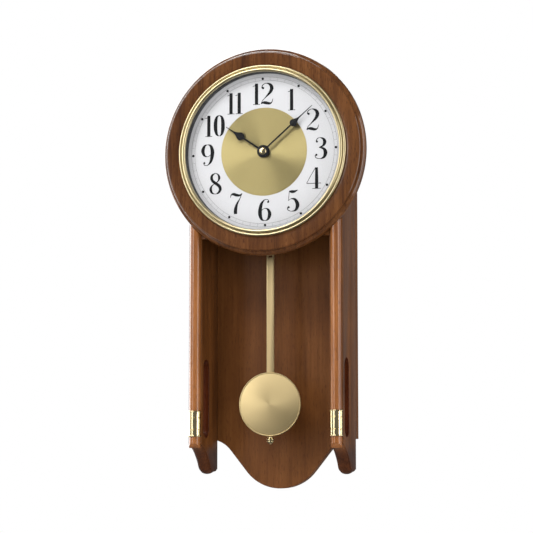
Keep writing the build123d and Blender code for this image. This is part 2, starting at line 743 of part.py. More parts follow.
# Bob: shallow dome with a bright rim, flat at the back where the rod passes.
bob_rear = rod_front - 0.3
bob_edge = bob_rear - 1.7
bob_crown = bob_rear - 5.2
with BuildPart() as pendulum_bob:
    with BuildSketch(turned(0, bob_height)):
        with BuildLine():
            Polyline((0, bob_crown), (0, bob_rear), (bob_radius - 0.6, bob_rear), (bob_radius, bob_rear - 0.6),
                     (bob_radius, bob_edge), (bob_radius - 0.6, bob_edge - 0.5), (bob_radius - 1.5, bob_edge - 0.5))
            dome_arc(bob_radius - 1.5, bob_edge - 0.5, bob_crown)
        make_face()
    revolve(axis=turning_axis(0, bob_height))
pendulum_bob.part.label = "pendulum_bob"
export_step(pendulum_bob.part, "parts/pendulum_bob.step")

# Channel on the back of the bob that slides on the rod.
with BuildPart() as bob_guide:
    with BuildSketch(level(bob_height - 9, depth=pendulum_depth)):
        with Locations((0, 0.4)):
            Rectangle(14, 2 * (rod_thickness / 2 + 0.3) + 0.8)
        with Locations((0, 0)):
            Rectangle(rod_width + 0.2, rod_thickness + 0.2, mode=Mode.SUBTRACT)
        with Locations((0, -rod_thickness / 2 - 0.2)):
            Rectangle(rod_width + 0.2, 0.4, mode=Mode.SUBTRACT)
    extrude(amount=18)
bob_guide.part.label = "bob_guide"
export_step(bob_guide.part, "parts/bob_guide.step")

# Rating nut: three stacked knurled discs on the threaded end.
nut_height = nut_top - nut_low
nut_discs = ((0.0, 0.20, 3.3), (0.20, 0.58, 4.85), (0.58, 0.68, 3.4), (0.68, 1.0, 4.2))
with BuildPart() as rating_nut:
    for start, end, radius in nut_discs:
        with BuildSketch(level(nut_top - end * nut_height, depth=pendulum_depth)):
            Circle(radius - 0.2)
            with PolarLocations(radius - 0.2, 20):
                Circle(0.25)
            Circle(stem_radius + running_gap, mode=Mode.SUBTRACT)
        extrude(amount=(end - start) * nut_height)
rating_nut.part.label = "rating_nut"
export_step(rating_nut.part, "parts/rating_nut.step")

# ================= chime unit and rear controls =================

cover_front = case_depth - cover_thickness
speaker_x = -28.0
speaker_height = 12.0
speaker_radius = 25.0
with BuildPart() as speaker_frame:
    with BuildSketch(turned(speaker_x, speaker_height)):
        with BuildLine():
            Polyline((12, 75), (13.5, 75), (21, cover_front - 1.5), (speaker_radius, cover_front - 1.5),
                     (speaker_radius, cover_front), (22, cover_front), (20, cover_front - 1.2), (12, 76.4), (12, 75))
        make_face()
    revolve(axis=turning_axis(speaker_x, speaker_height))
speaker_frame.part.label = "speaker_frame"
export_step(speaker_frame.part, "parts/speaker_frame.step")

with BuildPart() as speaker_cone:
    with BuildSketch(turned(speaker_x, speaker_height)):
        with BuildLine():
            Polyline((0, 77.5), (11.5, 77.0), (20, cover_front - 0.8), (20, cover_front - 0.3), (11, 77.9),
                     (0, 79.5), (0, 77.5))
        make_face()
    revolve(axis=turning_axis(speaker_x, speaker_height))
speaker_cone.part.label = "speaker_cone"
export_step(speaker_cone.part, "parts/speaker_cone.step")

with BuildPart() as speaker_magnet:
    with BuildSketch(facing(75, speaker_x, speaker_height)):
        Circle(14)
    extrude(amount=9)
    with BuildSketch(facing(76.6, speaker_x, speaker_height)):
        Circle(8)
    extrude(amount=1.6)
speaker_magnet.part.label = "speaker_magnet"
export_step(speaker_magnet.part, "parts/speaker_magnet.step")

# Battery tray with two cells side by side, their contacts and a hinged door.
tray_left = 20.0
tray_right = 55.2
tray_low = -23.5
tray_high = 35.5
tray_front = 68.0
tray_wall = 1.4
cell_radius = 7.2
cell_length = 50.0
cell_xs = (29.4, 45.8)
cell_depth = 77.6
tray_middle_x = (tray_left + tray_right) / 2
tray_middle_z = (tray_low + tray_high) / 2
with BuildPart() as battery_tray:
    with BuildSketch(facing(cover_front)):
        with Locations((tray_middle_x, tray_middle_z)):
            Rectangle(tray_right - tray_left, tray_high - tray_low)
    extrude(amount=cover_front - tray_front)
    with BuildSketch(facing(cover_front)):
        with Locations((tray_middle_x, tray_middle_z)):
            Rectangle(tray_right - tray_left - 2 * tray_wall, tray_high - tray_low - 2 * tray_wall)
    extrude(amount=cover_front - tray_front - tray_wall, mode=Mode.SUBTRACT)
battery_tray.part.label = "battery_tray"
export_step(battery_tray.part, "parts/battery_tray.step")

with BuildPart() as battery_cells:
    for cell_x, up in zip(cell_xs, (1, -1)):
        with BuildSketch(level(tray_middle_z - cell_length / 2 + 0.6, x=cell_x, depth=cell_depth)):
            Circle(cell_radius)
        extrude(amount=cell_length - 1.6)
        nub_base = tray_middle_z + (cell_length / 2 - 1.0 if up == 1 else -cell_length / 2 - 0.4)
        with BuildSketch(level(nub_base, x=cell_x, depth=cell_depth)):
            Circle(2.6)
        extrude(amount=1.0)
battery_cells.part.label = "battery_cells"
export_step(battery_cells.part, "parts/battery_cells.step")

with BuildPart() as battery_contacts:
    for end_z in (tray_low + tray_wall, tray_high - tray_wall - 0.5):
        for cell_x in cell_xs:
            with BuildSketch(level(end_z, x=cell_x, depth=cell_depth)):
                Rectangle(11, 12)
            extrude(amount=0.5)
battery_contacts.part.label = "battery_contacts"
export_step(battery_contacts.part, "parts/battery_contacts.step")

# Board with the volume control, the chime selector and the test button.
control_height = -45.0
volume_x = -34.0
button_x = 34.0
board_rear = 79.6
control_board_thickness = 1.6
with BuildPart() as control_board:
    with BuildSketch(facing(board_rear)):
        with Locations((0, -47)):
            Rectangle(108, 36)
        with Locations((-50, -33), (50, -33), (-50, -61), (50, -61)):
            Circle(1.6, mode=Mode.SUBTRACT)
    extrude(amount=control_board_thickness)
control_board.part.label = "control_board"
export_step(control_board.part, "parts/control_board.step")

with BuildPart() as board_components:
    with BuildSketch(facing(83.4, volume_x, control_height)):
        Rectangle(13, 13)
        Circle(1.5 + running_gap, mode=Mode.SUBTRACT)
    extrude(amount=83.4 - board_rear)
    with BuildSketch(facing(83.4, 0, control_height)):
        Rectangle(16, 7)
    extrude(amount=83.4 - board_rear)
    with BuildSketch(facing(82.4, button_x, control_height)):
        Rectangle(8, 8)
    extrude(amount=82.4 - board_rear)
    with BuildSketch(facing(82.4, -16, -58)):
        Rectangle(12, 8)
    extrude(amount=82.4 - board_rear)
board_components.part.label = "board_components"
export_step(board_components.part, "parts/board_components.step")

volume_radius = 6.0
with BuildPart() as volume_knob:
    with BuildSketch(facing(knob_rear, volume_x, control_height)):
        Circle(volume_radius - 0.4)
        with PolarLocations(volume_radius - 0.4, 18):
            Circle(0.4)
    extrude(amount=5)
    with BuildSketch(facing(knob_rear, volume_x, control_height)):
        with Locations((0, 3.2)):
            Rectangle(1.0, 3.6)
    extrude(amount=0.6, mode=Mode.SUBTRACT)
    with BuildSketch(facing(knob_rear - 4, volume_x, control_height)):
        Circle(1.5)
    extrude(amount=knob_rear - 4 - board_rear - 0.3)
volume_knob.part.label = "volume_knob"
export_step(volume_knob.part, "parts/volume_knob.step")

selector_travel = 3.0
with BuildPart() as chime_selector:
    with BuildSketch(facing(85.0, 0, control_height)):
        Rectangle(6, 5)
    extrude(amount=1.3)
    with BuildSketch(facing(knob_rear, 0, control_height)):
        Rectangle(3, 2.8)
    extrude(amount=knob_rear - 85.0)
chime_selector.part.label = "chime_selector"
export_step(chime_selector.part, "parts/chime_selector.step")

button_radius = 3.0
with BuildPart() as chime_test_button:
    with BuildSketch(facing(knob_rear, button_x, control_height)):
        Circle(button_radius)
    extrude(amount=knob_rear - 85.2)
    with BuildSketch(facing(85.2, button_x, control_height)):
        Circle(button_radius + 1)
    extrude(amount=1.0)
chime_test_button.part.label = "chime_test_button"
export_step(chime_test_button.part, "parts/chime_test_button.step")

# Rear cover, with the speaker grille, the battery opening and the holes for the controls.
door_left = 22.3
door_pivot_x = 52.5
door_low = tray_low + 4.3
door_high = tray_high - 3.3
door_gap = 0.3
door_pin_radius = 0.9
door_round = cover_thickness / 2
door_mid_depth = case_depth - door_round
door_middle_z = (door_low + door_high) / 2
cover_fit = 0.3
with BuildPart() as rear_cover:
    with BuildSketch(facing(case_depth)):
        with Locations((0, window_middle)):
            Rectangle(2 * (window_half_width + ledge - cover_fit), window_height + 2 * (ledge - cover_fit))
        with Locations(((door_left - door_gap + door_pivot_x + door_round + door_gap) / 2, door_middle_z)):
            Rectangle(door_pivot_x + door_round - door_left + 2 * door_gap, door_high - door_low + 2 * door_gap,
                      mode=Mode.SUBTRACT)
        with Locations((0, wheel_height)):
            Circle(setting_knob_radius + 1.2, mode=Mode.SUBTRACT)
        with Locations((volume_x, control_height)):
            Circle(volume_radius + 0.8, mode=Mode.SUBTRACT)
        with Locations((0, control_height)):
            Rectangle(3 + 2 * selector_travel + 1.2, 3.8, mode=Mode.SUBTRACT)
        with Locations((button_x, control_height)):
            Circle(button_radius + 0.4, mode=Mode.SUBTRACT)
        for row in range(-4, 5):
            row_z = 4.4 * row
            row_length = 2 * sqrt(19.5 ** 2 - row_z ** 2)
            with Locations((speaker_x, speaker_height + row_z)):
                SlotOverall(row_length, 1.8, mode=Mode.SUBTRACT)
        for sign in (-1, 1):
            with Locations(*[(sign * cover_screw_x, height) for height in cover_screw_heights]):
                Circle(1.6, mode=Mode.SUBTRACT)
    extrude(amount=cover_thickness)
    with BuildSketch(level(door_low - 2.2, x=door_pivot_x, depth=door_mid_depth)):
        Circle(door_pin_radius + 0.06)
    extrude(amount=door_high - door_low + 4.4, mode=Mode.SUBTRACT)
rear_cover.part.label = "rear_cover"
export_step(rear_cover.part, "parts/rear_cover.step")

with BuildPart() as battery_door:
    with BuildSketch(level(door_low, depth=door_mid_depth)):
        with Locations(((door_left + door_pivot_x) / 2, 0)):
            Rectangle(door_pivot_x - door_left, cover_thickness)
        with Locations((door_pivot_x, 0)):
            Circle(door_round)
    extrude(amount=door_high - door_low)
    with BuildSketch(facing(case_depth)):
        with Locations((door_left + 5, door_middle_z)):
            SlotOverall(14, 3, rotation=90)
    extrude(amount=1.0, mode=Mode.SUBTRACT)
    with BuildSketch(level(door_low - 1.8, x=door_pivot_x, depth=door_mid_depth)):
        Circle(door_pin_radius)
    extrude(amount=door_high - door_low + 3.6)
battery_door.part.label = "battery_door"
export_step(battery_door.part, "parts/battery_door.step")

with BuildPart() as cover_screws:
    for sign in (-1, 1):
        for height in cover_screw_heights:
            with BuildSketch(turned(sign * cover_screw_x, height)):
                with BuildLine():
                    Polyline((0, case_depth + 1.2), (2.0, case_depth + 1.0), (2.8, case_depth), (1.3, case_depth),
                             (1.3, case_depth - 9), (0, case_depth - 10.4), (0, case_depth + 1.2))
                make_face()
            revolve(axis=turning_axis(sign * cover_screw_x, height))
cover_screws.part.label = "cover_screws"
export_step(cover_screws.part, "parts/cover_screws.step")

# ================= hanging =================

# Keyhole plate let into the back panel: the screw head enters low and seats in the narrow slot above.
entry_radius = 4.5
slot_radius = 2.2
with BuildPart() as hanger_plate:
    with BuildSketch(facing(case_depth, height=hanger_height)):
        RectangleRounded(hanger_plate_width, hanger_plate_height, 3)
        Circle(entry_radius, mode=Mode.SUBTRACT)
        with Locations((0, 3.6)):
            Rectangle(2 * slot_radius, 7.2, mode=Mode.SUBTRACT)
        with Locations((0, 7.2)):
            Circle(slot_radius, mode=Mode.SUBTRACT)
        with Locations((-hanger_screw_x, 0), (hanger_screw_x, 0)):
            Circle(1.6, mode=Mode.SUBTRACT)
    extrude(amount=hanger_plate_thickness)
hanger_plate.part.label = "hanger_plate"
export_step(hanger_plate.part, "parts/hanger_plate.step")

with BuildPart() as hanger_screws:
    for sign in (-1, 1):
        with BuildSketch(turned(sign * hanger_screw_x, hanger_height)):
            with BuildLine():
                Polyline((0, case_depth + 1.2), (2.0, case_depth + 1.0), (2.8, case_depth), (1.3, case_depth),
                         (1.3, case_depth - 9), (0, case_depth - 10.4), (0, case_depth + 1.2))
            make_face()
        revolve(axis=turning_axis(sign * hanger_screw_x, hanger_height))
hanger_screws.part.label = "hanger_screws"
export_step(hanger_screws.part, "parts/hanger_screws.step")

pad_radius = 6.0
with BuildPart() as wall_pads:
    with BuildSketch(facing(case_depth + pad_height)):
        with Locations((-56, 58), (56, 58), (-80, -318), (80, -318)):
            Circle(pad_radius)
    extrude(amount=pad_height)
wall_pads.part.label = "wall_pads"
export_step(wall_pads.part, "parts/wall_pads.step")
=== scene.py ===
import json
import math

import bpy
from mathutils import Matrix, Vector

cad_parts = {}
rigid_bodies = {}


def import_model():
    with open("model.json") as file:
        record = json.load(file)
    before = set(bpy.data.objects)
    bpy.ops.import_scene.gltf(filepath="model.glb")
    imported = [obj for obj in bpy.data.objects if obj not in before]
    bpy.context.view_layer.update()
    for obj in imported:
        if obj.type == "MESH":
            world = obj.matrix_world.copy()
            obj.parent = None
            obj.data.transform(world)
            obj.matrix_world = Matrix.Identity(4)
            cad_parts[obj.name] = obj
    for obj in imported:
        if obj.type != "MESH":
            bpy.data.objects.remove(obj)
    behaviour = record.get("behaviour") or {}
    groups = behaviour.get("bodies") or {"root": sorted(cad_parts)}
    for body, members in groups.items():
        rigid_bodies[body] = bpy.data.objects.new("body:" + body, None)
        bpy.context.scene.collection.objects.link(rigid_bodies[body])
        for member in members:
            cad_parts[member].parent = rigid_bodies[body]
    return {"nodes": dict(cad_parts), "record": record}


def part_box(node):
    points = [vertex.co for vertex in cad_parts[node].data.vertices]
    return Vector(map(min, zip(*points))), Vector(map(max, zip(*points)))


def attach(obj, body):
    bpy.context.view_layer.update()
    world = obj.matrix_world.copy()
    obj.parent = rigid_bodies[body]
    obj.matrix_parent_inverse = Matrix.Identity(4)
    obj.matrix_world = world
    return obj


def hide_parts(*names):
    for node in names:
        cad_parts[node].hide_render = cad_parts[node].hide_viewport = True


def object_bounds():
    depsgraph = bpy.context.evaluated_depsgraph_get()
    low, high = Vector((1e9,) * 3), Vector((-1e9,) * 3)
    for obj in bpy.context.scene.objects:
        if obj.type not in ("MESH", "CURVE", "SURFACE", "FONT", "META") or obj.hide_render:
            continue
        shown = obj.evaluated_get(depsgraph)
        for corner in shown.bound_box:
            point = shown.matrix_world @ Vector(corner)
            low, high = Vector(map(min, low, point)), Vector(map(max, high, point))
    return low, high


bl_info = {
    "name": "Pendulum Wall Clock",
    "version": (1, 0, 0),
    "blender": (4, 5, 0),
    "location": "View3D > Sidebar > Wall Clock",
    "description": "Builds the turned, printed and polished pieces of a pendulum wall clock round its frame",
    "category": "Object",
}

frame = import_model()
cad_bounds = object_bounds()

MM = 0.001
TRUNK_FRONT = 13.3  # depth of the trunk's front behind the ring's face
dial_low, dial_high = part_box("dial_plate")
DIAL_X = (dial_low.x + dial_high.x) / 2
DIAL_Z = (dial_low.z + dial_high.z) / 2
FACE_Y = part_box("movement_board")[0].y - TRUNK_FRONT * MM
DIAL_DEPTH = (dial_low.y - FACE_Y) / MM
bob_low, bob_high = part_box("pendulum_bob")
BOB_HEIGHT = ((bob_low.z + bob_high.z) / 2 - DIAL_Z) / MM
BOB_RADIUS = (bob_high.x - bob_low.x) / 2 / MM
board_low, board_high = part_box("right_side_board")
BOARD_THICKNESS = (board_high.x - board_low.x) / MM
BOARD_MIDDLE = (board_low.x / MM + board_high.x / MM) / 2
BOARD_REAR = (board_high.y - FACE_Y) / MM
BOARD_TOP = (board_high.z - DIAL_Z) / MM
BOARD_FOOT = -338.0  # height where the straight edge moulding ends
SLOT_RADIUS = 10.75
SLOT_HALF = 34.25  # from the slot's middle to the middle of its round end
SLOT_DEPTH = 32.3
SLOT_HEIGHT = -281.0
FOOT_SHADE_TOP = -333.0
FOOT_SHADE_FADE = 12.0


def place(x, depth, height):
    """Point in metres from millimetres across, back from the ring's face and up from the dial's centre."""
    return Vector((DIAL_X + x * MM, FACE_Y + depth * MM, DIAL_Z + height * MM))


def span(node):
    """Front, rear, bottom and top of a node: two depths and two heights in millimetres."""
    low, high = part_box(node)
    return (low.y - FACE_Y) / MM, (high.y - FACE_Y) / MM, (low.z - DIAL_Z) / MM, (high.z - DIAL_Z) / MM


# ---------------------------------------------------------------- settings

def millimetres(name, description, default, low=0.5):
    """A size that a user may change."""
    return bpy.props.FloatProperty(name=name, description=description, default=default, min=low)


def metres(name, description, default):
    """A distance of the camera."""
    return bpy.props.FloatProperty(name=name, description=description, default=default, unit="LENGTH")


def degrees(name, description, default):
    """A turn, given in degrees and kept in radians."""
    return bpy.props.FloatProperty(
        name=name, description=description, default=math.radians(default), subtype="ANGLE")


def tint(name, description, default):
    """A colour that a user may change."""
    return bpy.props.FloatVectorProperty(
        name=name, description=description, default=default, subtype="COLOR", size=3)


class ClockSizes(bpy.types.PropertyGroup):
    """Sizes of the modelled pieces, in millimetres."""

    ring_radius: millimetres("Ring radius", "Outer radius of the head ring", 120.0, 60.0)
    ring_opening: millimetres("Ring opening", "Radius of the hole in the head ring", 95.2, 50.0)
    bead_height: millimetres(
        "Bead height", "Height of the half-round moulding over the board's edge", 6.3, 1.0)
    bead_width: millimetres("Bead width", "Width of the half-round moulding", 13.0, 2.0)
    numeral_height: millimetres("Numeral height", "Height of the hour numerals", 25.0, 5.0)
    numeral_radius: millimetres(
        "Numeral radius", "Distance from the dial centre to a numeral's middle", 67.5, 20.0)
    track_inner: millimetres("Track inner radius", "Inner line of the minute track", 83.0, 20.0)
    track_outer: millimetres("Track outer radius", "Outer line of the minute track", 87.0, 20.0)
    dial_turn: degrees("Dial turn", "Turn of the print against the case, counter-clockwise", 0.9)
    foot_bead: millimetres("Foot bead", "Height of the flatter bead round the foot", 3.4, 0.5)
    hour_hand_length: millimetres("Hour hand", "Centre to tip of the hour hand", 54.0, 10.0)
    minute_hand_length: millimetres("Minute hand", "Centre to tip of the minute hand", 77.0, 10.0)


class ClockFinishes(bpy.types.PropertyGroup):
    """Colours of the clock's finishes."""

    wood_dark: tint("Wood, dark", "Stain in the pores and the dark grain", (0.040, 0.012, 0.0035))
    wood_mid: tint("Wood, middle", "Main colour of the stained wood", (0.106, 0.0375, 0.009))
    wood_light: tint("Wood, light", "Colour of the light grain", (0.162, 0.062, 0.018))
    brass: tint("Brass", "Colour of the lacquered brass", (0.78, 0.66, 0.39))
    disc_gold: tint("Brushed gold", "Colour of the sunray brushed faces", (0.475, 0.392, 0.174))
    bob_brass: tint("Bob", "Colour of the turned face of the bob", (0.60, 0.473, 0.248))
    rod_brass: tint("Rod", "Colour of the brushed pendulum rod", (0.57, 0.435, 0.230))
    dial_white: tint("Dial", "Colour of the dial", (0.595, 0.595, 0.61))
    print_black: tint("Print", "Colour of the numerals and hands", (0.006, 0.006, 0.007))


class ClockStage(bpy.types.PropertyGroup):
    """Camera of the stage."""

    camera_x: metres("Camera across", "Camera's distance to the right of the dial centre", 0.5795)
    camera_back: metres("Camera distance", "Camera's distance in front of the ring face", 2.0419)
    camera_down: metres("Camera height", "Camera's height under the dial centre", 0.3571)
    turn: degrees("Turn", "Camera's turn to the left", 15.70)
    tilt: degrees("Tilt", "Camera's tilt upwards", 6.02)
    lens: millimetres("Lens", "Focal length in millimetres", 127.05, 10.0)


# ---------------------------------------------------------------- shaping helpers

def clear_selection():
    """Deselects every object."""
    for other in bpy.context.view_layer.objects:
        other.select_set(False)


def choose(*pieces):
    """Selects only these pieces; the last one is active."""
    clear_selection()
    for piece in pieces:
        piece.select_set(True)
    bpy.context.view_layer.objects.active = pieces[-1]


def joined(main, part):
    """Joins a part into the main piece."""
    choose(part, main)
    bpy.ops.object.join()
    return main


def new_object(name, points, faces):
    """Adds a mesh object at the origin and makes it the only selected one."""
    mesh = bpy.data.meshes.new(name)
    mesh.from_pydata([tuple(p) for p in points], [], faces)
    mesh.update()
    piece = bpy.data.objects.new(name, mesh)
    bpy.context.scene.collection.objects.link(piece)
    choose(piece)
    return piece


def drawn_line(name, points):
    """Draws a closed profile by hand: one vertex, extruded from point to point, and a last edge."""
    clear_selection()
    bpy.ops.mesh.primitive_plane_add(size=MM, location=points[0])
    piece = bpy.context.view_layer.objects.active
    piece.name = piece.data.name = name
    bpy.ops.object.transform_apply(location=True, rotation=True, scale=True)
    bpy.ops.object.mode_set(mode="EDIT")
    bpy.ops.mesh.select_all(action="SELECT")
    bpy.ops.mesh.merge(type="CENTER")
    for before, after in zip(points, points[1:]):
        bpy.ops.mesh.extrude_region_move(TRANSFORM_OT_translate={"value": after - before})
    bpy.ops.object.mode_set(mode="OBJECT")
    last = len(piece.data.vertices) - 1
    for vertex in piece.data.vertices:
        vertex.select = vertex.index in (0, last)
    bpy.ops.object.mode_set(mode="EDIT")
    bpy.ops.mesh.edge_face_add()
    bpy.ops.object.mode_set(mode="OBJECT")
    return piece


def edit_all(*steps):
    """Runs edit-mode steps on the whole of the active mesh."""
    bpy.ops.object.mode_set(mode="EDIT")
    bpy.ops.mesh.select_all(action="SELECT")
    for step in steps:
        step()
    bpy.ops.object.mode_set(mode="OBJECT")


def tidy_normals():
    """Merges doubles and turns the faces outwards."""
    bpy.ops.mesh.remove_doubles(threshold=1e-6)
    bpy.ops.mesh.normals_make_consistent(inside=False)


def smooth(piece, sharp=35):
    """Smooth shading with the edges sharper than an angle kept."""
    choose(piece)
    bpy.ops.object.shade_smooth_by_angle(angle=math.radians(sharp))


def finished(piece, body, material, *replaced):
    """Gives a piece its material, its body and the nodes that it stands for."""
    piece.data.materials.clear()
    piece.data.materials.append(material)
    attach(piece, body)
    if replaced:
        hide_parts(*replaced)


def arc(centre_u, centre_v, radius, start, end, count):
    """Points of a circular arc, angles in degrees."""
    angles = [math.radians(start + (end - start) * i / count) for i in range(count + 1)]
    return [(centre_u + radius * math.cos(a), centre_v + radius * math.sin(a)) for a in angles]


def arc_through(first, middle, last, count):
    """Points of the arc through three points."""
    ax, ay = first
    bx, by = middle
    cx, cy = last
    d = 2 * (ax * (by - cy) + bx * (cy - ay) + cx * (ay - by))
    squares = [x * x + y * y for x, y in (first, middle, last)]
    ux = (squares[0] * (by - cy) + squares[1] * (cy - ay) + squares[2] * (ay - by)) / d
    uy = (squares[0] * (cx - bx) + squares[1] * (ax - cx) + squares[2] * (bx - ax)) / d
    radius = math.hypot(ax - ux, ay - uy)
    turns = [math.atan2(y - uy, x - ux) for x, y in (first, middle, last)]
    sweep = (turns[2] - turns[0]) % math.tau
    if (turns[1] - turns[0]) % math.tau > sweep:
        sweep -= math.tau
    angles = [turns[0] + sweep * i / count for i in range(count + 1)]
    return [(ux + radius * math.cos(a), uy + radius * math.sin(a)) for a in angles]


def spun(name, points, centre, axis, steps):
    """Spins a closed profile once round an axis."""
    piece = drawn_line(name, points)
    edit_all(lambda: bpy.ops.mesh.spin(steps=steps, angle=math.tau, center=centre, axis=axis), tidy_normals)
    smooth(piece)
    return piece


def turned(name, profile, height=0.0, steps=200):
    """Turns a profile of (radius, depth) points about an axis square to the face."""
    points = [place(radius, depth, height) for radius, depth in profile]
    return spun(name, points, place(0, 0, height), (0, 1, 0), steps)


def turned_upright(name, profile, depth, steps=96):
    """Turns a profile of (radius, height) points about an upright axis in the clock's middle."""
    points = [place(radius, depth, height) for radius, height in profile]
    return spun(name, points, place(0, depth, 0), (0, 0, 1), steps)


def cut_plate(name, loops, thickness, bevel, to_place):
    """Plate with rounded arrises from flat outlines in millimetres; later outlines are holes."""
    curve = bpy.data.curves.new(name, "CURVE")
    curve.dimensions = "2D"
    curve.fill_mode = "BOTH"
    for loop in loops:
        spline = curve.splines.new("POLY")
        spline.points.add(len(loop) - 1)
        for point, (u, v) in zip(spline.points, loop):
            point.co = (u * MM, v * MM, 0, 1)
        spline.use_cyclic_u = True
    curve.extrude = (thickness / 2 - bevel) * MM
    curve.bevel_depth = bevel * MM
    curve.bevel_resolution = 3
    curve.offset = -bevel * MM
    piece = bpy.data.objects.new(name, curve)
    bpy.context.scene.collection.objects.link(piece)
    choose(piece)
    bpy.ops.object.convert(target="MESH")
    piece = bpy.context.view_layer.objects.active
    piece.data.transform(to_place)
    edit_all(tidy_normals)
    smooth(piece, 30)
    return piece


def facing_matrix(depth, turn=0.0):
    """From a flat drawing to the clock's face: u across, v up, thickness along the depth."""
    across = Vector((math.cos(turn), 0, math.sin(turn)))
    up = Vector((-math.sin(turn), 0, math.cos(turn)))
    axes = Matrix((across, up, Vector((0, -1, 0)))).transposed().to_4x4()
    return Matrix.Translation(place(0, depth, 0)) @ axes


# ---------------------------------------------------------------- material helpers

NOISE_LOW, NOISE_HIGH = 0.3, 0.7  # most of a noise lies between these values


def set_inputs(node, settings):
    """Sets the values of a node's own inputs."""
    for key, value in settings.items():
        node.inputs[key].default_value = value


class Recipe:
    """A node material under construction."""

    def __init__(self, name, color=(0.5, 0.5, 0.5), metallic=0.0, roughness=0.4, coat=0.0, coat_roughness=0.1,
                 specular=0.5):
        self.material = bpy.data.materials.new(name)
        self.material.use_nodes = True
        self.nodes = self.material.node_tree.nodes
        self.links = self.material.node_tree.links
        self.shader = self.nodes["Principled BSDF"]
        set_inputs(self.shader, {
            "Base Color": (*color, 1), "Metallic": metallic, "Roughness": roughness, "Coat Weight": coat,
            "Coat Roughness": coat_roughness, "Specular IOR Level": specular})
        self.material.diffuse_color = (*color, 1)

    def add(self, kind, **settings):
        node = self.nodes.new("ShaderNode" + kind)
        for key, value in settings.items():
            setattr(node, key, value)
        return node

    def join(self, source, target):
        self.links.new(source, target)

    def coordinates(self, centre=(0, 0, 0), stretch=(1, 1, 1)):
        """Object coordinates counted from a centre and stretched along the axes."""
        texture = self.add("TexCoord")
        mapping = self.add("Mapping")
        mapping.inputs["Location"].default_value = [-c * s for c, s in zip(centre, stretch)]
        mapping.inputs["Scale"].default_value = stretch
        self.join(texture.outputs["Object"], mapping.inputs["Vector"])
        return mapping.outputs["Vector"]

    def noise(self, vector, scale, detail=3.0, roughness=0.5, distortion=0.0):
        node = self.add("TexNoise")
        set_inputs(node, {"Scale": scale, "Detail": detail, "Roughness": roughness, "Distortion": distortion})
        self.join(vector, node.inputs["Vector"])
        return node.outputs["Fac"]

    def speckle(self, scale, detail=2, roughness=0.5, distortion=0.0):
        """Noise that is alike in every direction."""
        return self.noise(self.coordinates(), scale, detail, roughness, distortion)

    def ramp(self, value, *stops):
        node = self.add("ValToRGB")
        elements = node.color_ramp.elements
        while len(elements) < len(stops):
            elements.new(0.5)
        for element, (position, color) in zip(elements, stops):
            element.position = position
            element.color = (*color, 1) if isinstance(color, tuple) else (color, color, color, 1)
        self.join(value, node.inputs["Fac"])
        return node.outputs["Color"]

    def shades(self, value, color, darkest, low=NOISE_LOW, high=NOISE_HIGH):
        """Runs from a darkened tone of a colour up to the colour itself."""
        return self.ramp(value, (low, tuple(c * darkest for c in color)), (high, color))

    def feed(self, socket, value):
        """Joins another node's output to a socket, or sets the socket's own value."""
        if hasattr(value, "links"):
            self.join(value, socket)
        elif isinstance(value, tuple):
            socket.default_value = (*value, 1)
        else:
            socket.default_value = value

    def mix(self, factor, first, second, blend="MIX"):
        node = self.add("Mix", data_type="RGBA", blend_type=blend)
        sockets = (node.inputs["Factor"], node.inputs[6], node.inputs[7])
        for socket, value in zip(sockets, (factor, first, second)):
            self.feed(socket, value)
        return node.outputs[2]

    def darkened(self, value, color):
        """Multiplies a colour by another."""
        return self.mix(1.0, value, color, "MULTIPLY")

    def math(self, operation, first, second=0.0):
        node = self.add("Math", operation=operation)
        for socket, value in zip(node.inputs, (first, second)):
            self.feed(socket, value)
        return node.outputs[0]

    def length(self, first, second):
        """Length of a flat vector from its two parts."""
        squares = [self.math("MULTIPLY", part, part) for part in (first, second)]
        return self.math("SQRT", self.math("ADD", *squares))

    def parts(self, vector):
        node = self.add("SeparateXYZ")
        self.join(vector, node.inputs["Vector"])
        return node.outputs

    def remap(self, value, low, high, to_low, to_high):
        node = self.add("MapRange")
        set_inputs(node, {"From Min": low, "From Max": high, "To Min": to_low, "To Max": to_high})
        self.join(value, node.inputs["Value"])
        return node.outputs["Result"]

    def bump(self, height, strength, distance):
        node = self.add("Bump")
        set_inputs(node, {"Strength": strength, "Distance": distance})
        self.join(height, node.inputs["Height"])
        self.join(node.outputs["Normal"], self.shader.inputs["Normal"])

    def color(self, value):
        self.join(value, self.shader.inputs["Base Color"])

    def roughness(self, noise, low, high):
        """Lets a noise vary the roughness between two values."""
        self.join(self.remap(noise, NOISE_LOW, NOISE_HIGH, low, high), self.shader.inputs["Roughness"])


def slot_wall(recipe):
    """Mask of painted shade: 1 on the walls of the side boards' slots and their arrises, 0 elsewhere."""
    parts = recipe.parts(recipe.coordinates(tuple(place(0, SLOT_DEPTH, SLOT_HEIGHT))))
    past_middle = recipe.math("SUBTRACT", recipe.math("ABSOLUTE", parts["Z"]), SLOT_HALF * MM)
    distance = recipe.length(parts["Y"], recipe.math("MAXIMUM", past_middle, 0.0))
    near, far = (SLOT_RADIUS + 0.15) * MM, (SLOT_RADIUS + 0.45) * MM
    return recipe.remap(distance, near, far, 1.0, 0.0)


def foot_wood(recipe):
    """Mask of painted shade: 1 on the feet of the side boards, fading to 0 above them."""
    parts = recipe.parts(recipe.coordinates(tuple(place(0, 0, FOOT_SHADE_TOP))))
    return recipe.remap(parts["Z"], -FOOT_SHADE_FADE * MM, 0.0, 1.0, 0.0)


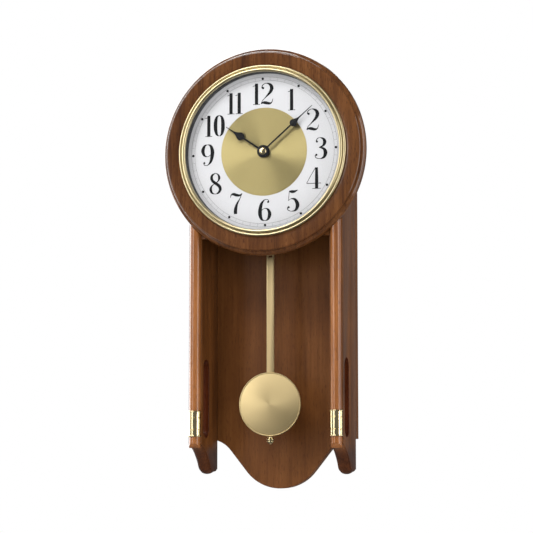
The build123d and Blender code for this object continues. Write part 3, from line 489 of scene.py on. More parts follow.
def lacquered_wood(name, finishes, seed=0.0, gloss=0.5, pore_depth=1.0, figure=1.0, lift=1.0, haze=0.08,
                   slotted=False):
    """Stained open-grained wood with upright grain, fine pores and lacquer; on the side boards painted shade
    darkens the slot walls and the feet.
    """
    dark, mid, light = [tuple(c * lift for c in color)
                        for color in (finishes.wood_dark, finishes.wood_mid, finishes.wood_light)]
    recipe = Recipe(name, mid, roughness=0.5, coat=gloss, coat_roughness=haze, specular=0.06)
    centre = (seed, seed * 0.7, seed * 1.3)
    broad = recipe.noise(recipe.coordinates(centre, (1, 1, 0.10)), 55, 5, 0.55, 0.6)
    streaks = recipe.noise(recipe.coordinates(centre, (1, 1, 0.035)), 420, 4, 0.6)
    flecks = recipe.noise(recipe.coordinates(centre, (1, 1, 0.13)), 1150, 2, 0.5)
    clouds = recipe.noise(recipe.coordinates(centre), 14, 3, 0.5)
    grain = recipe.mix(0.45, broad, streaks)
    base = recipe.ramp(grain, (0.5 - 0.14 / figure, dark), (0.50, mid), (0.5 + 0.14 / figure, light))
    darker = recipe.darkened(base, (0.55, 0.47, 0.42))
    shaded = recipe.mix(recipe.remap(clouds, 0.35, 0.65, 0.0, 0.5), base, darker)
    pores = recipe.ramp(flecks, (0.33, 0.0), (0.41, 1.0))
    wood_colour = recipe.mix(recipe.remap(pores, 0.0, 1.0, pore_depth, 0.0), shaded, dark)
    if slotted:
        # Painted shade: the walls of the slots and their arrises are darkened.
        wood_colour = recipe.mix(slot_wall(recipe), wood_colour, recipe.darkened(wood_colour, (0.42, 0.24, 0.20)))
        # Painted shade: the feet are darkened towards the bottom.
        wood_colour = recipe.mix(foot_wood(recipe), wood_colour, recipe.darkened(wood_colour, (0.52, 0.42, 0.40)))
    recipe.color(wood_colour)
    recipe.roughness(streaks, 0.36, 0.50)
    recipe.bump(recipe.mix(0.5, pores, streaks), 0.22, 0.00025)
    return recipe.material


def plain_board(name):
    """Unstained panel board."""
    recipe = Recipe(name, (0.42, 0.29, 0.17), roughness=0.7)
    grain = recipe.noise(recipe.coordinates((0, 0, 0), (1, 1, 0.06)), 260, 4, 0.6)
    recipe.color(recipe.ramp(grain, (0.35, (0.30, 0.19, 0.10)), (0.65, (0.50, 0.36, 0.22))))
    recipe.bump(grain, 0.2, 0.0002)
    return recipe.material


def polished_metal(name, color, roughness=0.16, wear=0.06, scale=900, relief=0.05):
    """Lacquered metal with fine wiping marks."""
    recipe = Recipe(name, color, metallic=1.0, roughness=roughness)
    marks = recipe.speckle(scale, 3, 0.6)
    patches = recipe.speckle(60)
    recipe.roughness(patches, roughness - wear / 2, roughness + wear)
    recipe.color(recipe.shades(marks, color, 0.93))
    recipe.bump(marks, relief, 0.00003)
    return recipe.material


def brushed_rod(name, color):
    """Metal brushed along its upright length."""
    recipe = Recipe(name, color, metallic=1.0, roughness=0.3)
    lines = recipe.noise(recipe.coordinates((0, 0, 0), (1, 1, 0.01)), 2600, 3, 0.6)
    recipe.color(recipe.shades(lines, color, 0.94))
    recipe.roughness(lines, 0.32, 0.40)
    recipe.bump(lines, 0.02, 0.00002)
    return recipe.material


def sunray(name, color, centre, roughness=0.34, depth=0.12, turned_finish=0.7, relief=0.05):
    """Metal brushed in rays from a centre on the face."""
    recipe = Recipe(name, color, metallic=1.0, roughness=roughness)
    recipe.shader.inputs["Anisotropic"].default_value = turned_finish
    tangent = recipe.add("Tangent", direction_type="RADIAL", axis="Y")
    recipe.join(tangent.outputs["Tangent"], recipe.shader.inputs["Tangent"])
    parts = recipe.parts(recipe.coordinates(centre))
    angle = recipe.math("ARCTAN2", parts["Z"], parts["X"])
    radius = recipe.length(parts["X"], parts["Z"])
    around = recipe.add("CombineXYZ")
    recipe.join(recipe.math("SINE", angle), around.inputs["X"])
    recipe.join(recipe.math("COSINE", angle), around.inputs["Y"])
    recipe.join(recipe.math("MULTIPLY", radius, 2.0), around.inputs["Z"])
    rays = recipe.noise(around.outputs["Vector"], 70, 4, 0.65)
    recipe.color(recipe.shades(rays, color, 1 - depth, 0.32, 0.68))
    recipe.roughness(rays, roughness - 0.05, roughness + 0.07)
    recipe.bump(rays, relief, 0.00005)
    return recipe.material


def moulded_plastic(name, color, roughness=0.45, grain=0.12, specular=0.4):
    """Moulded plastic with a fine spark texture."""
    recipe = Recipe(name, color, roughness=roughness, specular=specular)
    spark = recipe.speckle(2200)
    patches = recipe.speckle(40)
    recipe.color(recipe.shades(patches, color, 0.9))
    recipe.roughness(spark, roughness - 0.06, roughness + 0.08)
    recipe.bump(spark, grain, 0.00006)
    return recipe.material


def satin_dial(name, color):
    """Silver-white satin dial with very fine mottling."""
    recipe = Recipe(name, color, roughness=0.46)
    fine = recipe.speckle(1800)
    broad = recipe.speckle(9)
    tone = recipe.shades(fine, color, 0.975)
    recipe.color(recipe.mix(recipe.remap(broad, 0.3, 0.7, 0.0, 0.5), tone, tuple(c * 0.97 for c in color)))
    recipe.roughness(fine, 0.40, 0.52)
    recipe.bump(fine, 0.03, 0.00003)
    return recipe.material


def clear_glass(name):
    """Flat clear glass: mostly see-through, with a faint mirror of the room."""
    recipe = Recipe(name, (0.95, 0.97, 0.97), metallic=1.0, roughness=0.02)
    recipe.shader.inputs["Alpha"].default_value = 0.035
    smear = recipe.speckle(30)
    recipe.roughness(smear, 0.01, 0.04)
    return recipe.material


def wound_copper(name):
    """Enamelled wire winding."""
    recipe = Recipe(name, (0.55, 0.20, 0.06), metallic=1.0, roughness=0.35)
    turns = recipe.add("TexWave", wave_type="RINGS", rings_direction="Y")
    turns.inputs["Scale"].default_value = 900
    recipe.join(recipe.coordinates(), turns.inputs["Vector"])
    recipe.color(recipe.ramp(turns.outputs["Fac"], (0.0, (0.30, 0.10, 0.03)), (1.0, (0.62, 0.25, 0.09))))
    recipe.bump(turns.outputs["Fac"], 0.3, 0.0001)
    return recipe.material


def circuit_mask(name):
    """Green solder mask with tracks."""
    recipe = Recipe(name, (0.02, 0.12, 0.05), roughness=0.3, coat=0.3)
    tracks = recipe.add("TexBrick")
    set_inputs(tracks, {"Scale": 260, "Color1": (0.02, 0.13, 0.05, 1), "Color2": (0.015, 0.10, 0.04, 1),
                        "Mortar": (0.04, 0.20, 0.08, 1)})
    recipe.join(recipe.coordinates((0, 0, 0), (1, 0.001, 1)), tracks.inputs["Vector"])
    recipe.color(tracks.outputs["Color"])
    recipe.bump(tracks.outputs["Fac"], 0.1, 0.00005)
    return recipe.material


def felted(name, color):
    """Short dense felt."""
    recipe = Recipe(name, color, roughness=0.95, specular=0.1)
    recipe.shader.inputs["Sheen Weight"].default_value = 0.4
    fibres = recipe.speckle(2600, 4, 0.7, 1.5)
    recipe.color(recipe.shades(fibres, color, 0.6))
    recipe.bump(fibres, 0.6, 0.0003)
    return recipe.material


def cell_wrap(name):
    """Plain printed sleeve of a battery cell: dark body with a copper-coloured end band."""
    recipe = Recipe(name, (0.02, 0.025, 0.03), roughness=0.25, coat=0.4)
    low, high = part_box("battery_cells")
    parts = recipe.parts(recipe.coordinates((0, 0, low.z)))
    band = recipe.math("GREATER_THAN", parts["Z"], (high.z - low.z) * 0.75)
    fine = recipe.speckle(700)
    body = recipe.ramp(fine, (0.3, (0.016, 0.02, 0.024)), (0.7, (0.026, 0.03, 0.036)))
    recipe.color(recipe.mix(band, body, (0.45, 0.20, 0.08)))
    return recipe.material


FINISH = {}


class CLOCK_OT_finishes(bpy.types.Operator):
    """Makes the clock's materials and gives the frame's own pieces theirs"""

    bl_idname = "clock.finishes"
    bl_label = "Finishes"

    def execute(self, context):
        tones = context.scene.clock_finishes
        brass, gold, bob = tuple(tones.brass), tuple(tones.disc_gold), tuple(tones.bob_brass)
        rod, white, black = tuple(tones.rod_brass), tuple(tones.dial_white), tuple(tones.print_black)
        woods = {
            "ring_wood": dict(seed=0.31, gloss=0.90, pore_depth=0.9, figure=0.85, lift=0.98),
            "board_wood": dict(seed=0.77, gloss=0.45, pore_depth=0.7, figure=0.7, lift=1.25, slotted=True),
            # The moulding is the boards' wood at a higher lift: partly the wood's own lighter tone, partly a
            # painted highlight on the bead.
            "moulding_wood": dict(seed=0.77, gloss=1.0, pore_depth=0.6, figure=0.7, lift=2.35, haze=0.19),
            "panel_wood": dict(seed=1.43, gloss=0.32, pore_depth=0.45, figure=0.40, lift=1.17, haze=0.3)}
        for name, settings in woods.items():
            FINISH[name] = lacquered_wood(name, tones, **settings)
        for make, name, *settings in (
                (plain_board, "inner_wood"),
                (polished_metal, "brass", brass, 0.17),
                (polished_metal, "bezel_brass", tuple(c * 0.76 for c in brass), 0.30, 0.02, 60, 0.0),
                (brushed_rod, "rod_brass", rod),
                (sunray, "dial_gold", gold, tuple(place(0, 0, 0)), 0.40, 0.08, 0.85, 0.02),
                (sunray, "bob_brass", bob, tuple(place(0, 0, BOB_HEIGHT)), 0.54, 0.06, 0.5, 0.010),
                (satin_dial, "dial_white", white),
                (moulded_plastic, "print_black", black, 0.5, 0.02, 0.05),
                (moulded_plastic, "track_grey", (0.20, 0.20, 0.21), 0.5, 0.02),
                (moulded_plastic, "hand_black", black, 0.3, 0.03, 0.15),
                (moulded_plastic, "black_plastic", (0.018, 0.018, 0.02), 0.4),
                (moulded_plastic, "grey_plastic", (0.045, 0.045, 0.05), 0.5, 0.25),
                (moulded_plastic, "white_plastic", (0.72, 0.72, 0.68), 0.4),
                (clear_glass, "clear_glass"),
                (polished_metal, "steel", (0.56, 0.56, 0.57), 0.3, 0.1),
                (wound_copper, "copper_coil"),
                (circuit_mask, "circuit_green"),
                (moulded_plastic, "magnet_grey", (0.06, 0.06, 0.065), 0.6, 0.3),
                (felted, "paper_cone", (0.05, 0.045, 0.04)),
                (felted, "felt", (0.05, 0.04, 0.035)),
                (cell_wrap, "cell_sleeve")):
            FINISH[name] = make(name, *settings)
        by_slot = {"walnut_wood": "board_wood", "black_metal": "hand_black", "brushed_brass": "bob_brass"}
        by_node = {"back_panel": "panel_wood", "movement_board": "panel_wood", "top_board": "panel_wood",
                   "pendulum_rod": "rod_brass"}
        for entry in frame["record"]["subparts"]:
            node, slot = entry["node"], entry["material_slot"]
            finish = FINISH[by_node.get(node) or by_slot.get(slot, slot)]
            mesh = frame["nodes"][node].data
            if not mesh.materials:
                mesh.materials.append(finish)
            for index in range(len(mesh.materials)):
                mesh.materials[index] = finish
        return {"FINISHED"}


# ---------------------------------------------------------------- wooden case

def foot_outline():
    """Lower edge of a side board as (depth, height) points: cove, rounded foot, short rise to the rear."""
    cove = arc_through((TRUNK_FRONT, BOARD_FOOT + 1), (30.8, -345.7), (44.9, -358.0), 10)
    foot = arc_through((44.9, -358.0), (54.5, -366.6), (66.0, -366.9), 14)
    return cove[:-1] + foot + [(BOARD_REAR, -365.8)]


def offset_path(path, distance):
    """Moves an open path sideways, with its corners mitred."""
    moved = []
    for index, (u, v) in enumerate(path):
        before = path[max(index - 1, 0)]
        after = path[min(index + 1, len(path) - 1)]
        normals = []
        for (au, av), (bu, bv) in ((before, (u, v)), ((u, v), after)):
            length = math.hypot(bu - au, bv - av)
            if length > 0:
                normals.append(((bv - av) / length, -(bu - au) / length))
        nu = sum(n[0] for n in normals) / len(normals)
        nv = sum(n[1] for n in normals) / len(normals)
        stretch = distance / max(nu * nu + nv * nv, 0.35)
        moved.append((u + nu * stretch, v + nv * stretch))
    (before_u, before_v), (last_u, last_v) = moved[-2:]
    slope = (last_v - before_v) / max(last_u - before_u, 1e-6)
    moved[-1] = (path[-1][0], last_v + slope * (path[-1][0] - last_u))
    return moved


def bead_shell(name, sign, sizes, base, height, first=None, last=None):
    """Half-round bead over a path of (depth, height) points; first and last may move its ends."""
    half = sizes.bead_width / 2
    middle = sign * BOARD_MIDDLE
    count = 18
    points = []
    for step in range(count + 1):
        turn = math.pi * step / count - math.pi / 2
        x, rise = middle + half * math.sin(turn), height * math.cos(turn)
        path = offset_path(base, rise)
        if first:
            path[0] = (path[0][0], first(x, rise))
        if last:
            path[-1] = (base[-1][0] - rise, last(x, rise))
        points += [place(x, depth, up) for depth, up in path]
    length = len(base)
    faces = []
    for row in range(count):
        for step in range(length - 1):
            corner = row * length + step
            faces.append((corner, corner + 1, corner + length + 1, corner + length))
    for step in range(length - 1):
        faces.append((step, count * length + step, count * length + step + 1, step + 1))
    faces.append(tuple(row * length for row in range(count + 1)))
    faces.append(tuple(row * length + length - 1 for row in range(count, -1, -1)))
    piece = new_object(name, points, faces)
    edit_all(tidy_normals)
    smooth(piece, 40)
    return piece


def edge_bead(name, sign, sizes):
    """Half-round bead down a board's front edge, coped to the ring and mitred at the foot."""
    base = [(TRUNK_FRONT, height) for height in (-84.0, -200.0, BOARD_FOOT)]
    return bead_shell(name, sign, sizes, base, sizes.bead_height,
                      lambda x, rise: -math.sqrt((sizes.ring_radius + 0.1) ** 2 - x * x),
                      lambda x, rise: BOARD_FOOT + 0.9 * rise)


def slot_outline():
    """Tall slot with round ends through a side board."""
    top = arc(SLOT_DEPTH, SLOT_HEIGHT + SLOT_HALF, SLOT_RADIUS, 0, 180, 16)
    bottom = arc(SLOT_DEPTH, SLOT_HEIGHT - SLOT_HALF, SLOT_RADIUS, 180, 360, 16)
    return top + bottom


def side_board(name, sign, sizes):
    """Side board with its slot, and the flatter bead that runs round its foot."""
    foot = offset_path(foot_outline(), -sizes.foot_bead)
    outline = [(BOARD_REAR, BOARD_TOP), (TRUNK_FRONT, BOARD_TOP), (TRUNK_FRONT, foot[0][1])] + foot[1:]
    axes = Matrix((Vector((0, 1, 0)), Vector((0, 0, 1)), Vector((1, 0, 0)))).transposed().to_4x4()
    to_place = Matrix.Translation(place(sign * BOARD_MIDDLE, 0, 0)) @ axes
    board = cut_plate(name, [outline, slot_outline()], BOARD_THICKNESS, 0.5, to_place)
    rim = bead_shell(name + "_rim", sign, sizes, [(14.0, foot[0][1])] + foot[1:], sizes.foot_bead)
    return joined(board, rim)


class CLOCK_OT_wooden_case(bpy.types.Operator):
    """Turned head ring, side boards with their slots, and the beads along their edges"""

    bl_idname = "clock.wooden_case"
    bl_label = "Wooden Case"

    def execute(self, context):
        sizes = context.scene.clock_sizes
        outer, opening = sizes.ring_radius, sizes.ring_opening
        profile = [(opening, TRUNK_FRONT), (opening, 0.6), (opening + 0.25, 0.18), (opening + 0.7, 0.0)]
        profile += [(outer - 7.0, 0.0)]
        profile += arc(outer - 6.6, 1.7, 1.7, -90, 20, 8)
        profile += [(outer - 5.0, 2.9), (outer - 4.9, 3.5)]
        profile += arc(outer - 5.6, 9.0, 5.6, -78, 0, 14)
        profile += [(outer, 11.2)]
        profile += arc(outer - 1.6, 11.7, 1.6, 0, 90, 6)
        ring = turned("turned_ring", profile, steps=240)
        finished(ring, "case", FINISH["ring_wood"], "head_ring")
        for side, sign in (("left", -1), ("right", 1)):
            board = side_board(f"{side}_board", sign, sizes)
            finished(board, "case", FINISH["board_wood"], f"{side}_side_board")
            bead = edge_bead(f"{side}_bead", sign, sizes)
            finished(bead, "case", FINISH["moulding_wood"], f"{side}_edge_moulding")
        return {"FINISHED"}


class CLOCK_OT_ferrules(bpy.types.Operator):
    """Brass ferrules with rolled rims and a groove at each end"""

    bl_idname = "clock.ferrules"
    bl_label = "Ferrules"

    def execute(self, context):
        sizes = context.scene.clock_sizes
        _, _, bottom, top = span("right_ferrule")
        inner = sizes.bead_width / 2 + 0.05
        sleeve = inner + 0.85
        outside = [(sleeve, bottom + 2.1), (sleeve, bottom + 7.6), (sleeve - 0.45, bottom + 7.9),
                   (sleeve - 0.45, bottom + 8.5), (sleeve, bottom + 8.8)]
        mirrored = [(r, bottom + top - z) for r, z in reversed(outside)]
        rim_low = arc(sleeve, bottom + 1.0, 0.8, -90, 90, 6)
        rim_high = arc(sleeve, top - 1.0, 0.8, -90, 90, 6)
        profile = [(inner, bottom + 0.1)] + rim_low + outside + mirrored + rim_high + [(inner, top - 0.1)]
        for side, sign in (("left", -1), ("right", 1)):
            middle = sign * BOARD_MIDDLE
            points = [place(middle - radius, TRUNK_FRONT, height) for radius, height in profile]
            piece = drawn_line(f"{side}_sleeve", points)
            centre = place(middle, TRUNK_FRONT, 0)
            edit_all(
                lambda: bpy.ops.mesh.spin(steps=48, angle=math.pi, center=centre, axis=(0, 0, -1)),
                lambda: bpy.ops.mesh.select_all(action="SELECT"),
                lambda: bpy.ops.mesh.fill_holes(sides=0),
                tidy_normals)
            smooth(piece, 40)
            finished(piece, "case", FINISH["brass"], f"{side}_ferrule")
        return {"FINISHED"}


# ---------------------------------------------------------------- dial

class CLOCK_OT_bezel(bpy.types.Operator):
    """Two-bead bezel and the black wall inside it"""

    bl_idname = "clock.bezel"
    bl_label = "Bezel"

    def execute(self, context):
        profile = [(93.6, TRUNK_FRONT), (93.6, -1.0), (91.3, -1.0), (91.3, -2.9)]
        profile += arc(93.3, -2.8, 2.0, -180, -20, 14)
        profile += [(95.5, -2.0), (95.9, -2.0)]
        profile += arc(97.4, -1.7, 1.6, -160, 0, 12)
        profile += [(99.0, 0.0), (95.0, 0.0), (95.0, TRUNK_FRONT)]
        bezel = turned("brass_bezel", profile, steps=240)
        finished(bezel, "case", FINISH["bezel_brass"], "dial_bezel")
        # The wall is drawn black: its black paints the shade in the gap between the bezel and the dial.
        wall = [(93.4, 1.0), (91.7, 1.0), (91.55, 1.2), (91.0, DIAL_DEPTH), (93.4, DIAL_DEPTH)]
        inner = turned("dark_wall", wall)
        finished(inner, "case", FINISH["black_plastic"], "inner_ring")
        return {"FINISHED"}


# Strokes of the numerals as (across, up, half width) along the middle, in thousandths of their height.
DIGITS = {
    "0": [[(250, 985, 12), (130, 900, 40), (75, 700, 62), (65, 500, 66), (75, 300, 62), (130, 100, 40),
           (250, 15, 12), (370, 100, 40), (425, 300, 62), (435, 500, 66), (425, 700, 62), (370, 900, 40),
           (250, 985, 12)]],
    "1": [[(250, 990, 55), (250, 500, 58), (250, 20, 58)],
          [(270, 975, 18), (190, 900, 14), (80, 865, 13)],
          [(90, 13, 13), (250, 13, 13), (410, 13, 13)]],
    "2": [[(75, 760, 20), (100, 900, 20), (220, 985, 15), (350, 910, 45), (400, 750, 64), (350, 560, 50),
           (200, 330, 22), (90, 170, 13), (50, 30, 12)],
          [(50, 30, 16), (110, 85, 35), (200, 75, 52), (320, 35, 40), (400, 80, 22), (440, 250, 10)]],
    "3": [[(90, 820, 16), (140, 940, 18), (230, 985, 14), (340, 910, 42), (375, 770, 58), (320, 610, 34),
           (190, 540, 12)],
          [(190, 540, 12), (340, 470, 42), (400, 290, 66), (350, 90, 44), (220, 15, 14), (90, 70, 18),
           (60, 190, 14)]],
    "4": [[(310, 985, 14), (160, 620, 12), (30, 265, 12)],
          [(30, 255, 14), (250, 255, 14), (470, 255, 14)],
          [(335, 980, 45), (335, 500, 56), (335, 20, 56)],
          [(200, 13, 13), (335, 13, 13), (460, 13, 13)]],
    "5": [[(100, 500, 12), (115, 750, 12), (130, 960, 12)],
          [(120, 945, 20), (200, 915, 48), (300, 920, 40), (410, 985, 10)],
          [(100, 500, 10), (180, 585, 16), (310, 550, 44), (395, 310, 66), (340, 80, 42), (210, 15, 14),
           (90, 70, 18), (60, 190, 14)]],
    "6": [[(400, 860, 14), (360, 960, 16), (250, 975, 16), (140, 830, 42), (85, 600, 60), (70, 330, 66),
           (130, 80, 42), (250, 15, 13), (360, 80, 40), (420, 290, 62), (370, 500, 40), (260, 575, 14),
           (160, 520, 14), (100, 400, 10)]],
    "7": [[(60, 780, 10), (75, 900, 22), (150, 945, 44), (250, 900, 50), (360, 880, 34), (440, 975, 10)],
          [(440, 975, 10), (370, 740, 18), (270, 480, 38), (225, 220, 60), (225, 20, 58)]],
    "8": [[(250, 985, 12), (140, 900, 36), (105, 770, 50), (150, 620, 48), (270, 500, 50), (390, 370, 54),
           (425, 220, 50), (360, 70, 34), (240, 15, 12), (120, 80, 34), (75, 240, 46), (120, 400, 30),
           (240, 510, 14), (350, 620, 30), (385, 780, 42), (340, 920, 30), (250, 985, 12)]],
}
DIGITS["9"] = [[(500 - u, 1000 - v, w) for u, v, w in stroke] for stroke in DIGITS["6"]]
WIDTHS = {"1": 1.05, "0": 0.97, "4": 1.53, "6": 1.31, "8": 1.31, "9": 1.31}
USUAL_WIDTH = 1.45
BOLD_FROM, BOLD_GAIN, HAIRLINE_GAIN = 30, 1.35, 1.05
# Round ends of the strokes as (across, up, radius), in the same thousandths.
TERMINALS = {"2": [(115, 765, 50)], "3": [(125, 810, 45), (105, 200, 48)],
             "5": [(105, 200, 48)], "6": [(365, 865, 45)], "9": [(135, 135, 45)]}


def widened(stroke, stretch):
    """A stroke in parts of the numeral's height, stretched across and a little bolder."""
    return [(u / 1000 * stretch, v / 1000, w / 1000 * (BOLD_GAIN if w > BOLD_FROM else HAIRLINE_GAIN))
            for u, v, w in stroke]


def smooth_line(stroke, steps=7):
    """Points along a smooth line through a stroke's points."""
    line = []
    last = len(stroke) - 1
    for index in range(last):
        p0, p1 = stroke[max(index - 1, 0)], stroke[index]
        p2, p3 = stroke[index + 1], stroke[min(index + 2, last)]
        for step in range(steps):
            t = step / steps
            line.append(tuple(
                0.5 * (2 * b + (c - a) * t + (2 * a - 5 * b + 4 * c - d) * t * t
                       + (3 * b - a - 3 * c + d) * t ** 3)
                for a, b, c, d in zip(p0, p1, p2, p3)))
    line.append(stroke[-1])
    return line


def add_stroke(stroke, to_face, points, faces):
    """Adds a flat stroke of changing width."""
    line = smooth_line(stroke)
    start = len(points)
    for index, (u, v, half) in enumerate(line):
        before, after = line[max(index - 1, 0)], line[min(index + 1, len(line) - 1)]
        du, dv = after[0] - before[0], after[1] - before[1]
        length = math.hypot(du, dv)
        nu, nv = -dv / length * half, du / length * half
        points.append(to_face(u + nu, v + nv))
        points.append(to_face(u - nu, v - nv))
    for index in range(len(line) - 1):
        corner = start + 2 * index
        faces.append((corner, corner + 1, corner + 3, corner + 2))


def add_dot(u, v, radius, to_face, points, faces, sides=20):
    """Adds a flat round dot."""
    start = len(points)
    for step in range(sides):
        turn = math.tau * step / sides
        points.append(to_face(u + radius * math.cos(turn), v + radius * math.sin(turn)))
    faces.append(tuple(range(start, start + sides)))


def printed(name, points, faces, ink, thickness=0.06):
    """Flat print on the dial with a little thickness, towards the viewer."""
    piece = new_object(name, points, faces)
    bpy.context.view_layer.update()
    edit_all(lambda: bpy.ops.mesh.remove_doubles(threshold=1e-7),
             lambda: bpy.ops.mesh.extrude_region_move(
                 TRANSFORM_OT_translate={"value": (0, -thickness * MM, 0)}),
             lambda: bpy.ops.mesh.select_all(action="SELECT"),
             lambda: bpy.ops.mesh.normals_make_consistent(inside=False))
    finished(piece, "case", FINISH[ink])


class CLOCK_OT_dial_print(bpy.types.Operator):
    """Hour numerals, minute track and hour dots on the dial"""

    bl_idname = "clock.dial_print"
    bl_label = "Dial Print"

    def execute(self, context):
        sizes = context.scene.clock_sizes
        height = sizes.numeral_height
        front = DIAL_DEPTH - 0.01
        points, faces = [], []
        for hour in range(1, 13):
            turn = math.radians(30 * hour) - sizes.dial_turn
            centre_u = sizes.numeral_radius * math.sin(turn)
            centre_v = sizes.numeral_radius * math.cos(turn)
            digits = str(hour)
            extents = []
            for digit in digits:
                stretch = WIDTHS.get(digit, USUAL_WIDTH)
                strokes = [widened(stroke, stretch) for stroke in DIGITS[digit]]
                sides = [u + side * w for stroke in strokes for u, v, w in stroke for side in (-1, 1)]
                extents.append((strokes, stretch, min(sides), max(sides)))
            gap = 0.055 if "0" in digits else 0.02
            total = sum(high - low for _, _, low, high in extents) + gap * (len(digits) - 1)
            left = -total / 2
            for digit, (strokes, stretch, low, high) in zip(digits, extents):

                def to_face(u, v, shift=left - low):
                    return place(centre_u + (shift + u) * height, front, centre_v + (v - 0.5) * height)

                for stroke in strokes:
                    add_stroke(stroke, to_face, points, faces)
                for u, v, radius in TERMINALS.get(digit, []):
                    add_dot(u / 1000 * stretch, v / 1000, radius / 1000 * 1.1, to_face, points, faces)
                left += high - low + gap
        printed("hour_numerals", points, faces, "print_black")

        def on_dial(u, v):
            return place(u, front, v)

        points, faces = [], []
        for hour in range(12):
            turn = math.radians(30 * hour) - sizes.dial_turn
            middle = (sizes.track_inner + sizes.track_outer) / 2
            add_dot(middle * math.sin(turn), middle * math.cos(turn), 1.5, on_dial, points, faces)
        printed("hour_dots", points, faces, "print_black", 0.07)

        points, faces = [], []
        segments = 240
        for radius in (sizes.track_inner, sizes.track_outer):
            start = len(points)
            for step in range(segments):
                turn = math.tau * step / segments
                for edge in (radius - 0.17, radius + 0.17):
                    points.append(on_dial(edge * math.sin(turn), edge * math.cos(turn)))
            for step in range(segments):
                a, b = start + 2 * step, start + 2 * ((step + 1) % segments)
                faces.append((a, a + 1, b + 1, b))
        for minute in range(60):
            if minute % 5 == 0:
                continue
            turn = math.radians(6 * minute) - sizes.dial_turn
            across = Vector((math.cos(turn), -math.sin(turn))) * 0.11
            out = Vector((math.sin(turn), math.cos(turn)))
            inner, outer = out * (sizes.track_inner + 0.14), out * (sizes.track_outer - 0.14)
            start = len(points)
            for corner in (inner - across, inner + across, outer + across, outer - across):
                points.append(on_dial(corner.x, corner.y))
            faces.append((start, start + 1, start + 2, start + 3))
        printed("minute_track", points, faces, "track_grey", 0.05)
        return {"FINISHED"}


def hand_outline(length, bulb_at, bulb_radius, hub_radius, stem_half, tip_half=0.32):
    """Outline of a hand along u: hub, stem, round bulb with a pear-shaped flare, thin tip."""
    hub_turn = math.degrees(math.asin(stem_half / hub_radius))
    bulb_turn = math.degrees(math.asin(stem_half / bulb_radius))
    upper = arc(0, 0, hub_radius, 180, hub_turn, 24)
    upper += arc(bulb_at, 0, bulb_radius, 180 - bulb_turn, 58, 16)
    start_u, start_v = upper[-1]
    flare_end = bulb_at + 2.5 * bulb_radius
    flare_half = stem_half * 0.72
    for step in range(1, 9):
        t = step / 8
        half = flare_half + (start_v - flare_half) * (1 - t) ** 1.9
        upper.append((start_u + (flare_end - start_u) * t, half))
    upper.append((length, tip_half))
    lower = [(u, -v) for u, v in reversed(upper[1:])]
    return upper + lower


class CLOCK_OT_hands(bpy.types.Operator):
    """Hour and minute hands with round bulbs, and the domed cap"""

    bl_idname = "clock.hands"
    bl_label = "Hands"

    def execute(self, context):
        sizes = context.scene.clock_sizes
        hour, minute = sizes.hour_hand_length, sizes.minute_hand_length
        for name, node, body, length, bulb_at, bulb, hub, stem, pipe in (
                ("spade_hour_hand", "hour_hand", "hour_body", hour, 33.0, 4.7, 7.4, 1.0, 2.62),
                ("spade_minute_hand", "minute_hand", "minute_body", minute, 47.6, 4.3, 7.0, 0.95, 1.52)):
            low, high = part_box(node)
            tip_x = high.x if high.x - DIAL_X > DIAL_X - low.x else low.x
            turn = math.atan2(high.z - DIAL_Z, tip_x - DIAL_X)
            depth = ((low.y + high.y) / 2 - FACE_Y) / MM
            loops = [hand_outline(length, bulb_at, bulb, hub, stem), arc(0, 0, pipe, 0, 345, 23)]
            hand = cut_plate(name, loops, 0.5, 0.14, facing_matrix(depth, turn))
            finished(hand, body, FINISH["hand_black"], node)
        front, rear, _, _ = span("hand_cap")
        profile = [(1.52, rear), (4.1, rear), (4.3, rear - 0.2)]
        rise = rear - 0.5 - front
        profile += [(4.3 * math.cos(math.radians(a)), rear - 0.5 - rise * math.sin(math.radians(a)))
                    for a in range(0, 91, 9)]
        profile += [(0, 3.0), (1.52, 3.0)]
        cap = turned("brass_cap", profile, steps=96)
        finished(cap, "minute_body", FINISH["brass"], "hand_cap")
        return {"FINISHED"}


# ---------------------------------------------------------------- pendulum

